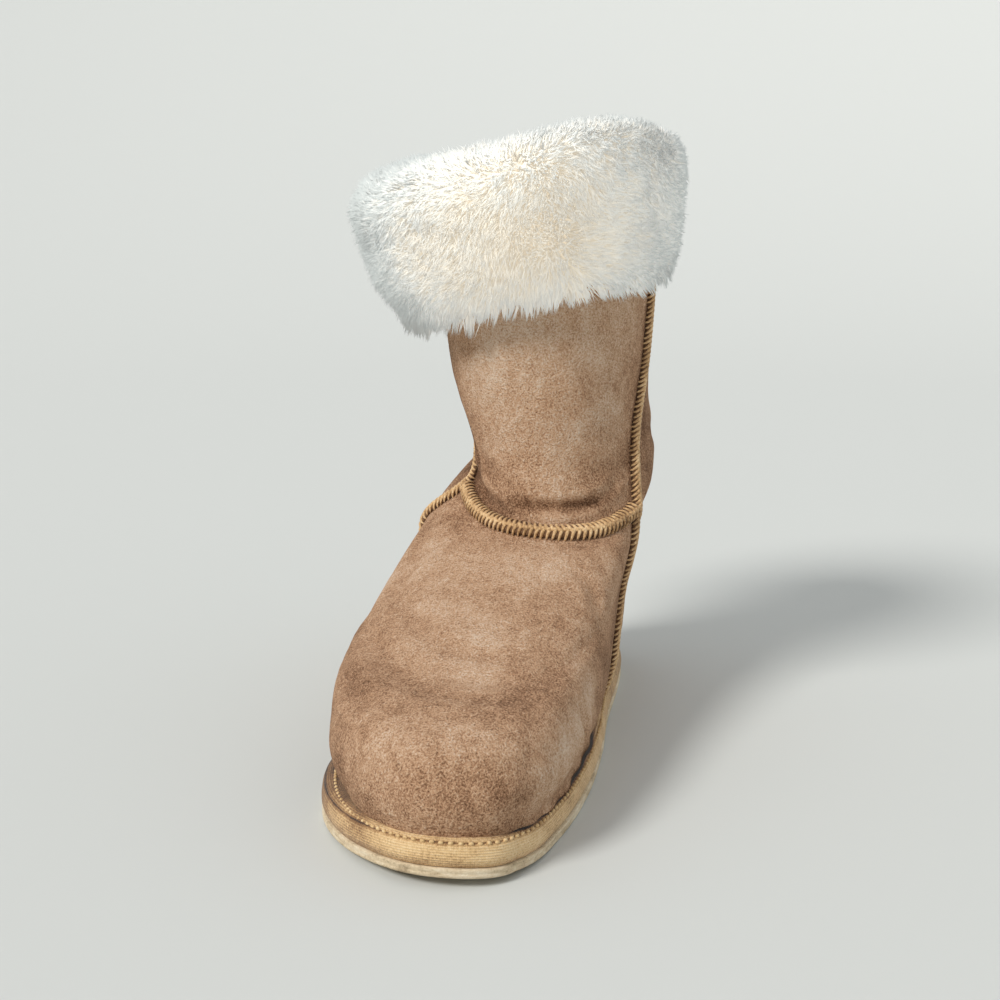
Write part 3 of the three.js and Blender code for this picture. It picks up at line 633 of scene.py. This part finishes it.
# The medial side of the lower edge, where it slumps and stands open with painted shade along it, and the toe,
# where it flares.
SLUMP_AT, GAP_SHADOW_AT, GAPE_SPREAD, SLUMP_OUT = 58, 56, 24, 2.1
SKIRT_AT, SKIRT_SPREAD, SKIRT_OUT, SKIRT_DROP = 8, 44, 1.5, 0.4
UNDER_CUFF = 0.3


def drawn_in(angle, row):
    """How far the suede and its lining draw in from the platform's edge beside the little toe."""
    return DRAWN_IN * bell(degrees_from(angle, DRAWN_IN_AT) / DRAWN_IN_SPREAD) * bell(row / DRAWN_IN_REACH)


def gap_shadow_mask(angle):
    """1 where shade is painted along the suede's open lower edge and on the cloth below it, 0 elsewhere."""
    return plateau(degrees_from(angle, GAP_SHADOW_AT) / GAPE_SPREAD)


def scallops(angle):
    """The waves of the suede's lower edge on the medial side."""
    turn = degrees_from(angle, 0)
    return 0.55 * np.sin(turn / 1.7) + 0.45 * np.sin(turn / 4.1 + 1)


def build_upper():
    around, up = 300, 190
    share = np.arange(around) / around
    top = row_below(CUFF_DROP * UNDER_CUFF)
    row = np.linspace(0, top, up)[:, None] + 0 * share
    angle = round_angle(share, row)
    plain = upper_point(angle, row, 0)
    creases = crease_offset(plain)
    lumps = 0.45 * soft_noise(plain, 26, 3) + 0.22 * soft_noise(plain, 11, 4) + 0.07 * soft_noise(plain, 4, 5)
    calm = 1 - near_seams(plain)
    # The medial edge slumps over the platform in small scallops.
    slump = plateau(degrees_from(angle, SLUMP_AT) / GAPE_SPREAD) * bell(row / 0.4)
    slump = slump * (1 + 0.45 * scallops(angle))
    skirt = plateau(degrees_from(angle, SKIRT_AT) / SKIRT_SPREAD) * bell(row / 0.5)
    out = (creases + lumps) * smooth(clamp01(row / 0.25)) * calm
    out += SLUMP_OUT * slump + SKIRT_OUT * skirt - drawn_in(angle, row)
    points = upper_point(angle, row, out)
    points[..., 2] -= SKIRT_DROP * skirt
    # The lower edge turns in under the wall, and the top ends inside the cuff.
    rolled = [upper_point(angle[0], row[0], out[0] - depth) + (0, 0, 0.08)
              for depth in (WALL - 0.2, 1.6, 0.6)]
    closing = [upper_point(angle[-1], row[-1], -depth) + (0, 0, 0.4) for depth in (0.8, WALL - 0.2)]
    inner = []
    for level in np.linspace(top, 0, 20)[1:-1]:
        turn = round_angle(share, level)
        inner.append(upper_point(turn, level, 0.1 - WALL - drawn_in(turn, level)))
    rings = np.concatenate([rolled, points, closing, inner])
    # Painted shade in the crease troughs, a little painted light on their lips, and a darker nap along the
    # seams.
    tone = tone_at(angle, row) + 0.14 * creases - 0.5 * (1 - calm) ** 2
    # Painted shade along the lower edge where it stands open on the medial side.
    tone -= 1.6 * gap_shadow_mask(angle) * bell(row / 0.12)
    hidden = len(closing) + len(inner)
    tones = np.concatenate([np.full((len(rolled), around), -0.4), tone, np.zeros((hidden, around))])
    faces = grid_faces(len(rings), around, loop=True)
    make_piece("suede_upper", rings, faces, SUEDE, "upper", "suede", tone=tones)


def build_lining():
    """Short curly pile inside the shaft, from the fur's lower edge down into the foot."""
    around, down = 110, 56
    share = np.arange(around) / around
    row = np.linspace(row_below(CUFF_DROP * UNDER_CUFF), 0.05, down)[:, None] + 0 * share
    angle = round_angle(share, row)
    base = upper_point(angle, row, -WALL - 1.6)
    fuzz = 0.5 * soft_noise(base, 5, 21) + 0.35 * soft_noise(base, 2.4, 22)
    inward = WALL + drawn_in(angle, row)
    points = upper_point(angle, row, fuzz - 1.3 - inward)
    back = upper_point(angle, row, -0.15 - inward)[::-1]
    rings = np.concatenate([points, back])
    make_piece("plush_lining", rings, grid_faces(len(rings), around, loop=True), FLEECE, None, "fleece")


# ---- sole
def sole_ring(angles, height, inset):
    p = outline_point(angles, inset)
    return np.column_stack([p, height + spring(p[:, 1])])


def even_angles(count, end=TURN):
    """Angles that divide the sole's outline evenly by length, from the toe up to an end."""
    fine = np.linspace(0, end, 1 + round(2000 * end / TURN))
    walk = walked(sole_ring(fine, 0, 0))
    return np.interp(walk[-1] * np.arange(count) / count, walk, fine)


# Darker and lighter places of the cloth: angle, height share, spread, reach, tone. The dark lines along the
# top edge under the upper and along the stitches' groove, and the deep dark patch under the suede's open
# medial edge, are painted shade.
CLOTH_TONES = [
    (-68, 0.5, 34, 3, -0.62), (-150, 0.5, 40, 3, -0.3), (10, 0.5, 40, 3, 0.3), (75, 0.5, 40, 3, 0.1),
    (150, 0.4, 40, 3, -0.15), (0, 0.0, 180, 0.25, -0.2), (0, 1.0, 180, 0.05, -0.2),
    (52, 1.0, 26, 0.12, -2.4), (0, 0.8, 180, 0.05, -0.7)]
# Up the platform's side, inset as a share of its height, inset in millimetres where drawn in, pitch.
RAND_STITCH_UP, RAND_STITCH_INSET, RAND_STITCH_DRAWN, RAND_STITCH_PITCH = 0.8, 0.125, 5.0, 3.0
# Where the painted shadow line under the suede's open edge runs up the platform's side and how far it waves,
# and the width of that line and of the stitches' groove.
SHADOW_LINE_UP, SHADOW_LINE_WAVE, LINE_WIDTH = 0.93, 0.035, 0.035


def build_platform():
    count = 420
    # The cloth's pattern ends at the heel, on a doubled column.
    angles = np.roll(even_angles(count - 1), (count - 1) // 2)
    angles = np.append(angles, angles[0])
    inward = drawn_in(angles, 0) / DRAWN_IN
    places = np.linspace(0, 4, 34)
    ups, insets = column(PLATFORM_SIDE[:, 0], places), column(PLATFORM_SIDE[:, 1], places)
    rings, tones = [], []
    for up, inset in zip(ups, insets):
        ring = sole_ring(angles, PLATFORM_BASE + up * PLATFORM_HEIGHT, inset * PLATFORM_HEIGHT)
        sag = 0.25 * soft_noise(ring, 18, 31) + 0.12 * soft_noise(ring, 6, 32)
        sag *= math.sin(math.pi * min(1, max(0, up)))
        groove = 0.5 * bell((up - RAND_STITCH_UP) / LINE_WIDTH) * (1 - inward)
        ring[:, :2] = outline_point(angles, inset * PLATFORM_HEIGHT + groove - sag)
        rings.append(ring)
        # Painted shadow on the cloth just below the suede's open medial edge.
        shadow_line_up = SHADOW_LINE_UP - SHADOW_LINE_WAVE * scallops(angles)
        shadow = gap_shadow_mask(angles) * bell(np.maximum(0, shadow_line_up - up) / LINE_WIDTH)
        tones.append(tone_at(angles, up, CLOTH_TONES) - 3 * shadow)
    edge = rings[-1]
    centre = np.column_stack([middle_line(angles), edge[:, 1:]])
    for share in (0.93, 0.75, 0.5, 0.25, 0.06):
        ring = lerp(centre, edge, share)
        ring[:, 1] *= lerp(0.985, 1, share)
        ring[:, 2] = PLATFORM_TOP + spring(ring[:, 1])
        rings.append(ring)
        tones.append(tone_at(angles, 0.5, CLOTH_TONES) - 0.1)
    along = walked(sole_ring(angles, 0, 0))
    profile = walked(np.column_stack([ups, insets]) * PLATFORM_HEIGHT)
    profile = np.append(profile, profile[-1] + 4 * np.arange(1, 6))
    uvs = [np.column_stack([along, np.full(count, v)]) for v in profile]
    under = [sole_ring(angles, PLATFORM_BASE, 0.3 * PLATFORM_HEIGHT + inset) for inset in (24, 12, 0)]
    rings, tones, uvs = under + rings, [np.full(count, -0.3)] * 3 + tones, [uvs[0]] * 3 + uvs
    top_cap = np.arange(count - 1) + (len(rings) - 1) * count
    bottom_cap = np.arange(count - 1)[::-1]
    faces = [grid_faces(len(rings), count, closed_round=False), top_cap, bottom_cap]
    make_piece("cloth_platform", rings, faces, CLOTH, "platform", "cloth", uvs=uvs, tone=tones)


def groove_rise(y):
    """The grooves across the underside, in front of the arch and behind it."""
    rise = 0
    for first, second in ((SOLE_TOE, ARCH_FRONT), (ARCH_BACK, SOLE_HEEL)):
        centre = (first + second) / 2 * SOLE_LENGTH
        number = math.floor(((second - first) * SOLE_LENGTH - GROOVE_WIDTH) / GROOVE_PITCH)
        for k in range(number):
            gap = np.abs(y - centre - (k - (number - 1) / 2) * GROOVE_PITCH)
            rise = rise + GROOVE_DEPTH * clamp01((GROOVE_WIDTH / 2 - gap) * 2)
    return rise


def build_outsole():
    count = 360
    # The same angles on both sides, so that the grooves run straight across.
    half = even_angles(count // 2, math.pi)
    angles = np.concatenate([half, [math.pi], TURN - half[:0:-1]])
    edge = OUTSOLE_THICKNESS
    # up, inset
    side = [(0.0, 0.2), (0.12, 0.07), (0.3, 0.0), (0.42, 0.06),
            (0.52, 0.06), (0.64, 0.0), (0.88, 0.0), (1.0, 0.07)]
    rings = [sole_ring(angles, edge * up, edge * inset) for up, inset in side]
    rings[0][:, 2] += arch(rings[0][:, 1])
    top = [sole_ring(angles, edge, inset) for inset in (4, 12)]
    insets = (2.5, 5, GROOVE_BORDER - 0.4, GROOVE_BORDER + 0.4)
    under = [sole_ring(angles, 0, inset) for inset in insets]
    last = under[-1]
    centre = np.column_stack([middle_line(angles), outline_point(angles, GROOVE_BORDER + 3)[:, 1]])
    for share in np.linspace(1, 0.02, 40)[1:]:
        ring = last.copy()
        ring[:, :2] = lerp(centre, last[:, :2], share)
        ring[:, 2] = spring(ring[:, 1])
        under.append(ring)
    for i, ring in enumerate(under):
        ring[:, 2] += arch(ring[:, 1])
        if i >= len(insets) - 1:
            ring[:, 2] += groove_rise(ring[:, 1]) + 0.25 * clamp01(np.sin(ring[:, 0] * TURN / 3.2) * 2)
    rings = under[::-1] + rings + top
    top_cap = np.arange(count) + (len(rings) - 1) * count
    # The first ring is a narrow slit along the middle. A strip across it closes it.
    i = np.arange(1, count // 2 - 1)
    strip = np.stack([count - i, count - i - 1, i + 1, i], -1)
    ends = np.array([(count - 1, 1, 0), (count // 2 + 1, count // 2, count // 2 - 1)])
    faces = [grid_faces(len(rings), count), top_cap, strip, ends]
    make_piece("scuffed_outsole", rings, faces, RUBBER, "outsole", "sole")


def build_insole():
    count, across = 220, 46
    angles = TURN * np.arange(count) / count
    edge = upper_point(angles, 0, -(WALL + 3 * CLEARANCE))
    low = edge.copy()
    low[:, 2] = FEATHER_Z + 0.05 + spring(low[:, 1])
    rings = [low]
    for share in np.linspace(1, 0.03, across):
        ring = edge.copy()
        ring[:, 0] = lerp(middle_line(angles), edge[:, 0], share)
        ring[:, 1] = edge[:, 1] * lerp(0.86, 1, share)
        ring[:, 2] = FEATHER_Z + INSOLE_THICKNESS * (1 - 0.12 * share**6) + spring(ring[:, 1])
        ring[:, 2] += 0.45 * soft_noise(ring, 4.5, 41) + 0.3 * soft_noise(ring, 2.2, 42)
        rings.append(ring)
    faces = [grid_faces(len(rings), count), np.arange(count) + across * count, np.arange(count)[::-1]]
    make_piece("fleece_insole", rings, faces, FLEECE, "insole", "fleece")


# ---- seams
SEAM_SINK, CORD_SIDES = 0.7, 10
INSTEP_STITCH_PITCH, INSTEP_STITCH_SLANT = 2.15, 0.6
SIDE_STITCH_PITCH, SIDE_STITCH_SLANT = 2.0, 1.5


def overcast(name, node, angles, rows, width, height, pitch, slant):
    """A cord under two rows of slanted stitches that meet on its crown."""
    point, normal = upper_point(angles, rows, 0), base_normal(angles, rows)
    walk = walked(point)
    length = walk[-1]
    count = int(length / pitch)
    crown = SEAM_CLEARANCE + height
    at = lambda s: (read_path(walk, point, s), unit(read_path(walk, normal, s)))
    sideways_of = lambda line, up: unit(np.cross(unit(np.gradient(line, axis=0)), up))
    # Core cord.
    s = np.linspace(0, length, count * 2)
    centre, up = at(s)
    side = sideways_of(centre, up)
    a = TURN * np.arange(CORD_SIDES) / CORD_SIDES
    sideways = (1 + 0.05 * np.sin(s * 1.3))[:, None] * np.cos(a) * width * 0.4
    upward = lerp(-SEAM_SINK, crown * 0.8, (1 + np.sin(a)) / 2)
    ring = centre[:, None] + side[:, None] * sideways[..., None] + up[:, None] * upward[:, None]
    cap = np.arange(CORD_SIDES)
    faces = [grid_faces(len(s), CORD_SIDES)[:, ::-1], cap, cap[::-1] + (len(s) - 1) * CORD_SIDES]
    make_piece(name + "_cord", ring, faces, SEAM_CORE, None, "thread")
    # Slanted stitches.
    paths, ups = [], []
    steps = np.linspace(0, 1, 7)
    for k in range(count):
        jitter = 0.12 * math.sin(k * 12.9898)
        for sign in (-1, 1):
            here = (k + 0.5 + (0.5 if sign > 0 else 0.0) + jitter + steps * slant) * pitch
            here = np.clip(here, 0, length)
            c, u = at(here)
            w = unit(np.cross(read_path(walk, point, here + 0.5) - read_path(walk, point, here - 0.5), u))
            across = lerp(0.55, -0.1, steps) * width * sign * (1 + 0.06 * math.sin(k * 7.7))
            bow = np.sqrt(clamp01(1 - (np.abs(across) / (0.56 * width)) ** 2))
            lift = lerp(-SEAM_SINK, crown - 0.55, bow)
            paths.append(c + w * across[:, None] + u * lift[:, None])
            ups.append(u)
    points, faces = tubes(np.array(paths), (0.32, 0.5, 0.58, 0.68, 0.78, 0.74, 0.36), 6, ups, 0.85)
    # The threads lock in a knotted line along the crown.
    s = np.linspace(0.6, length - 0.6, count * 5)
    centre, up = at(s)
    sway = sideways_of(centre, up) * (0.25 * np.sin(TURN * s / pitch / 2))[:, None]
    beads = 0.12 * width * (1 + 0.4 * np.sin(TURN * s / pitch))
    line, line_faces = tubes((centre + up * (crown - 0.62) + sway)[None], beads, 7, up[None], 0.8)
    faces += [f + len(points) for f in line_faces]
    make_piece(name + "_stitches", np.concatenate([points, line]), faces, THREAD, node, "thread")


def build_seams():
    # The instep seam ends at the side seams' inner edges.
    meeting, step = seam_angle(SEAM_ROW), 0.03
    span = np.linalg.norm(base_point(meeting + step, SEAM_ROW) - base_point(meeting - step, SEAM_ROW))
    end = meeting - SIDE_SEAM_WIDTH * step / span
    overcast("instep", "instep_seam", np.linspace(-end, end, 240), SEAM_ROW,
             INSTEP_SEAM_WIDTH, INSTEP_SEAM_HEIGHT, INSTEP_STITCH_PITCH, INSTEP_STITCH_SLANT)
    rows = np.linspace(SIDE_SEAM_FOOT - 0.2, row_below(CUFF_DROP * SIDE_SEAM_COVER), 300)
    for name, sign in (("medial", 1), ("lateral", -1)):
        overcast(name, "side_seam_" + name, sign * seam_angle(rows), rows,
                 SIDE_SEAM_WIDTH, SIDE_SEAM_HEIGHT, SIDE_STITCH_PITCH, SIDE_STITCH_SLANT)


def build_rand_stitches():
    """A row of stitches along the platform's upper edge, just outside the upper."""
    angles = np.append(even_angles(1600), TURN)
    inward = drawn_in(angles, 0) / DRAWN_IN
    inset = lerp(RAND_STITCH_INSET * PLATFORM_HEIGHT, RAND_STITCH_DRAWN, inward)
    ring = sole_ring(angles, PLATFORM_BASE + PLATFORM_HEIGHT * lerp(RAND_STITCH_UP, 1.0, inward), inset)
    walk = walked(ring)
    length = walk[-1]
    count = int(length / RAND_STITCH_PITCH)
    steps = np.linspace(0, 1, 6)
    paths = []
    for k in range(count):
        here = (k + 0.24 + 0.5 * steps + 0.05 * math.sin(k * 5.1)) * length / count
        p = read_path(walk, ring, here % length)
        p[:, 2] += 0.45 * np.sin(np.pi * steps) - 0.25
        paths.append(p)
    points, faces = tubes(np.array(paths), (0.25, 0.55, 0.66, 0.66, 0.55, 0.25), 6)
    make_piece("rand_stitches", points, faces, RAND_THREAD, None, "thread")


# ---- fur
HEM_LIFT = 5.0
FUR_AROUND, FUR_UP, FUR_TOP_PLACE, FUR_ROW = 200, 100, 9.9, 12.0
CLUMPS, HAIRS, CLUMP_SIZE = 3400, 20, 4.2
DOWN = np.array([0, 0, -1.0])
pile_at = lambda angle: lerp(PILE_MEDIAL, PILE_LATERAL, (1 - np.sin(angle)) / 2)
medial_share = lambda angle: smooth(clamp01(0.62 + 0.6 * np.sin(angle)))


def cuff_corners(share):
    """The cuff's section corners round the boot, shape (corners, shares, 3)."""
    corners = []
    for face, up, out, hang in CUFF_SECTION:
        height = up * CUFF_DROP
        level = row_below(max(0, -height))
        angle = round_angle(share, level)
        distance = CLEARANCE + hang * (SIDE_SEAM_HEIGHT + SEAM_CLEARANCE) + out * pile_at(angle)
        if face < 0:
            distance = -(WALL + CLEARANCE + out * LINING_PILE)
        hump = sum(rise * bell(degrees_from(angle, at) / spread) for at, spread, rise in CUFF_HUMPS)
        top = clamp01(1 + up * 2) if out > 0 else 0
        point = upper_point(angle, level, distance)
        point[:, 2] += max(0, height) + (CLEARANCE if up >= 0 else 0) + hump * CUFF_DROP * top
        point[:, 2] += HEM_LIFT * medial_share(angle) * clamp01(-2 * up - 1)
        corners.append(point)
    return np.array(corners)


def cuff_surface():
    """The cuff's furry face as a smooth grid: points, outward normals, place along the section."""
    corners = cuff_corners(np.arange(FUR_AROUND) / FUR_AROUND)
    places = np.linspace(0, FUR_TOP_PLACE, FUR_UP)
    points = np.array([[column(corners[:, k, i], places) for i in range(3)] for k in range(FUR_AROUND)])
    points = points.transpose(2, 0, 1)
    around = np.roll(points, -1, 1) - np.roll(points, 1, 1)
    return points, unit(np.cross(around, np.gradient(points, axis=0))), places


def fur_inset(places, angle):
    thin = np.where(places > 7, LINING_PILE, 100)
    return np.minimum(np.minimum(4.5, 0.4 * pile_at(angle)[None, :]), 0.4 * thin[:, None])


def build_fur():
    points, normal, places = cuff_surface()
    share = np.arange(FUR_AROUND) / FUR_AROUND
    inset = fur_inset(places, round_angle(share, LAST_ROW))
    woolly = 0.9 * soft_noise(points, 6, 51) + 0.5 * soft_noise(points, 2.6, 52)
    base = points + normal * (-inset + woolly * clamp01(inset / 3))[..., None]
    rings = np.concatenate([base, cuff_corners(share)[10:]])
    make_piece("fur_base", rings, grid_faces(len(rings), FUR_AROUND, loop=True), WOOL, "fur_cuff", "fur",
               uvs=np.zeros((len(rings) * FUR_AROUND, 2)))

    rng = np.random.default_rng(20)
    area = np.linalg.norm(np.cross(np.roll(points, -1, 1) - points, np.gradient(points, axis=0)), axis=-1)
    density = area * np.where(places < 1.2, 1.7, 1.0)[:, None] * np.where(places > 8.4, 0.7, 1.0)[:, None]
    density[-1] = 0

    def sample(count):
        """Evenly scattered grid places, by the density."""
        n = np.arange(1, count + 1)
        u, v = (n * 0.7548776662) % 1, (n * 0.5698402910) % 1
        up = np.append(0, np.cumsum(density.sum(1)))
        i = np.minimum(np.interp(u * up[-1], up, np.arange(FUR_UP + 1.0)), FUR_UP - 1.001)
        k = np.zeros(count)
        for level in np.unique(i.astype(int)):
            here = i.astype(int) == level
            around = np.append(0, np.cumsum(density[level]))
            k[here] = np.interp(v[here] * around[-1], around, np.arange(FUR_AROUND + 1.0))
        i = np.clip(i + rng.random(count) - 0.5, 0, FUR_UP - 1.001)
        return i, (k + rng.random(count) - 0.5) % FUR_AROUND

    def grid_read(grid, i, k):
        i0, k0 = np.floor(i).astype(int), np.floor(k).astype(int)
        u, v = (i - i0)[:, None], (k - k0)[:, None]
        i1, k1 = np.minimum(i0 + 1, FUR_UP - 1), (k0 + 1) % FUR_AROUND
        k0 = k0 % FUR_AROUND
        return lerp(lerp(grid[i0, k0], grid[i1, k0], u), lerp(grid[i0, k1], grid[i1, k1], u), v)

    ci, ck = sample(CLUMPS)
    spread = rng.random((CLUMPS, HAIRS, 2)) - 0.5 + (rng.random((CLUMPS, HAIRS, 2)) - 0.5)
    cell_height = np.linalg.norm(np.gradient(points, axis=0), axis=-1)
    cell_width = np.linalg.norm(np.roll(points, -1, 1) - points, axis=-1)
    cell = ci.astype(int), ck.astype(int) % FUR_AROUND
    di = spread[..., 0] * CLUMP_SIZE / np.maximum(cell_height[cell], 0.15)[:, None]
    dk = spread[..., 1] * CLUMP_SIZE / np.maximum(cell_width[cell], 0.15)[:, None]
    i = np.clip(ci[:, None] + np.clip(di, -9, 9), 0, FUR_UP - 1.001).ravel()
    k = ((ck[:, None] + dk) % FUR_AROUND).ravel()
    each = lambda values: np.repeat(values, HAIRS, 0)

    def growth(i, k, wild):
        """Root, direction, length, normal and nearness to the hem for hairs at grid places."""
        root = grid_read(points, i, k)
        n = unit(grid_read(normal, i, k))
        place = i / (FUR_UP - 1) * FUR_TOP_PLACE
        hem = smooth(clamp01((1.6 - place) / 1.6))
        inside = smooth(clamp01((place - 6.4) / 1.4))
        sunk = grid_read(inset[..., None], i, k)[:, 0]
        hang = 1 - 0.85 * medial_share(round_angle(k / FUR_AROUND, FUR_ROW))
        flow = np.column_stack([soft_noise(root, 17, seed) for seed in (61, 62, 63)])
        fall = 0.12 * (1 - inside) + (0.5 + 1.2 * hang) * hem
        aim = unit(n + DOWN * fall[:, None] + flow * 0.75 + wild * 0.3)
        length = (sunk + 2.6 + 0.35 * sunk) * lerp(1.0, 0.8, inside) + (0.4 + 3.2 * hang) * hem
        return root - n * (sunk * 0.96)[:, None], aim, length, n, hem

    c_root, c_aim, c_length, _, c_hem = growth(ci, ck, rng.normal(size=(CLUMPS, 3)))
    c_length = c_length * (0.72 + (0.5 + 0.25 * c_hem) * rng.random(CLUMPS))
    c_tip = c_root + c_aim * c_length[:, None] + DOWN * (0.8 + 2.0 * c_hem)[:, None]
    root, aim, length, n, hem = growth(i, k, rng.normal(size=(len(i), 3)))
    length = length * (0.72 + 0.5 * rng.random(len(i)))
    length *= 1 + hem * each(0.5 * rng.random(CLUMPS) - 0.25)
    tip = root + aim * length[:, None] + DOWN * 0.8
    gather = each(0.25 + 0.4 * rng.random(CLUMPS))[:, None] + 0.2 * hem[:, None]
    tip = lerp(tip, each(c_tip) + (root - each(c_root)) * 0.25, gather)
    curl = rng.normal(size=(len(i), 3)) * 0.7
    bend = lerp(root, tip, 0.55) + n * (0.1 * length)[:, None] + curl * 0.6
    across = unit(np.cross(aim, rng.normal(size=(len(i), 3))))
    other = unit(np.cross(aim, across))
    radius = (0.36 + 0.16 * rng.random(len(i)))[:, None]
    turns = [across * math.cos(a) + other * math.sin(a) for a in (0, TURN / 3, TURN * 2 / 3)]
    vertices = [root + r * radius for r in turns] + [bend + r * radius * 0.72 for r in turns] + [tip]
    vertices = np.stack(vertices, 1)
    # Each hair and clump is tinted at random. Painted light and shade: creamier and lighter at the front of
    # the fold, cooler and darker to the sides and most of all on the outer one.
    shade = rng.random(len(i)) * 0.6 + each(rng.random(CLUMPS)) * 0.4
    turn = degrees_from(round_angle(k / FUR_AROUND, FUR_ROW), 6)
    place = i / (FUR_UP - 1) * FUR_TOP_PLACE
    shade -= 1.1 * bell(turn / 52) * bell((place - 2.7) / 1.5)
    shade += 0.7 * (1 - bell(turn / 62)) + 0.9 * smooth(clamp01((-turn - 25) / 45))
    along = np.array([0, 0, 0, 0.55, 0.55, 0.55, 1.0])
    uvs = np.stack([np.repeat(shade[:, None], 7, 1), np.broadcast_to(along, (len(i), 7))], -1)
    # The normals lean towards the pile's own surface, for a soft look.
    soft = unit(np.stack([n + r * 0.35 for r in turns + turns] + [n + aim * 0.4], 1))

    quarter = (k / FUR_AROUND * 4).astype(int)
    for part, name in enumerate(("medial_front", "medial_back", "lateral_back", "lateral_front")):
        chosen = np.flatnonzero(quarter == part)
        start = np.arange(len(chosen))[:, None] * 7
        quads = np.concatenate([start + np.array(q) for q in ((0, 1, 4, 3), (1, 2, 5, 4), (2, 0, 3, 5))])
        tips = np.concatenate([start + np.array(t) for t in ((3, 4, 6), (4, 5, 6), (5, 3, 6))])
        piece = make_piece("fur_" + name, vertices[chosen], [quads, tips], HAIR, None, "fur", uvs=uvs[chosen])
        piece.data.normals_split_custom_set_from_vertices(soft[chosen].reshape(-1, 3).tolist())


build_upper()
build_lining()
build_platform()
build_outsole()
build_insole()
build_seams()
build_rand_stitches()
build_fur()

# ---- stage, light and camera
FLAT_RADIUS, FLOOR_RADIUS, BACKDROP_RISE = 1.4, 9, 5.5
SKY_COLOUR, SKY_STRENGTH = (0.95, 0.97, 1.0, 1), 0.63
SUN_COLOUR, SUN_STRENGTH, SUN_ANGLE, SUN_DIRECTION = (1.0, 0.985, 0.955), 2.4, 18, (0.45, 0.76, -0.74)


def build_floor():
    """A pale floor that sweeps up all round into a plain backdrop, in metres."""
    radii = np.concatenate([[0.02], np.linspace(0.2, FLAT_RADIUS, 8), np.linspace(1.5, FLOOR_RADIUS, 40)])
    rise = BACKDROP_RISE * np.maximum(0, (radii - FLAT_RADIUS) / (FLOOR_RADIUS - FLAT_RADIUS)) ** 2
    around = 128
    a = TURN * np.arange(around) / around
    ring = np.column_stack([np.cos(a), np.sin(a)])
    points = [np.column_stack([r * ring, np.full(around, z)]) for r, z in zip(radii, rise)]
    paint = Graph("studio_paint").finish(Base_Color=srgb(207, 209, 206), Roughness=0.95,
                                         Specular_IOR_Level=0.1)
    faces = [grid_faces(len(radii), around), np.arange(around)]
    floor = new_object("studio_floor", new_mesh("studio_floor", points, faces, paint))


bpy.context.scene.view_settings.view_transform = "Standard"
build_floor()
world = bpy.data.worlds.new("studio_light")
bpy.context.scene.world = world
world.use_nodes = True
world.node_tree.nodes["Background"].inputs["Color"].default_value = SKY_COLOUR
world.node_tree.nodes["Background"].inputs["Strength"].default_value = SKY_STRENGTH
sun_data = bpy.data.lights.new("key", "SUN")
sun_data.energy, sun_data.angle, sun_data.color = SUN_STRENGTH, math.radians(SUN_ANGLE), SUN_COLOUR
sun = new_object("key", sun_data)
sun.rotation_euler = mathutils.Vector(SUN_DIRECTION).to_track_quat("-Z", "Y").to_euler()

# The photograph's camera: place in millimetres and direction in the boot's own frame, turned so that the
# boot, which stands at BOOT_PIXEL in the photograph, comes to the middle.
CAMERA_PLACE = (142.8, -540.1, 205.0)
CAMERA_FORWARD = (-0.1893, 0.9641, -0.1864)
FOCAL_PIXELS, PICTURE, BOOT_PIXEL, FILM_WIDTH = 1495.8, 1000, (378, 505), 36
PAN = math.atan2(PICTURE / 2 - BOOT_PIXEL[0], FOCAL_PIXELS)
PITCH = math.atan2(BOOT_PIXEL[1] - PICTURE / 2, FOCAL_PIXELS)

camera_data = bpy.data.cameras.new("camera")
camera_data.sensor_width = FILM_WIDTH
camera_data.lens = FILM_WIDTH * FOCAL_PIXELS / PICTURE
camera = new_object("camera", camera_data)
camera.location = (np.array(CAMERA_PLACE) + CENTRING) / 1000
forward = mathutils.Vector(CAMERA_FORWARD).normalized()
forward.rotate(mathutils.Matrix.Rotation(PAN, 3, "Z"))
forward.rotate(mathutils.Matrix.Rotation(-PITCH, 3, forward.cross((0, 0, 1))))
camera.rotation_euler = forward.to_track_quat("-Z", "Y").to_euler()
bpy.context.scene.camera = camera
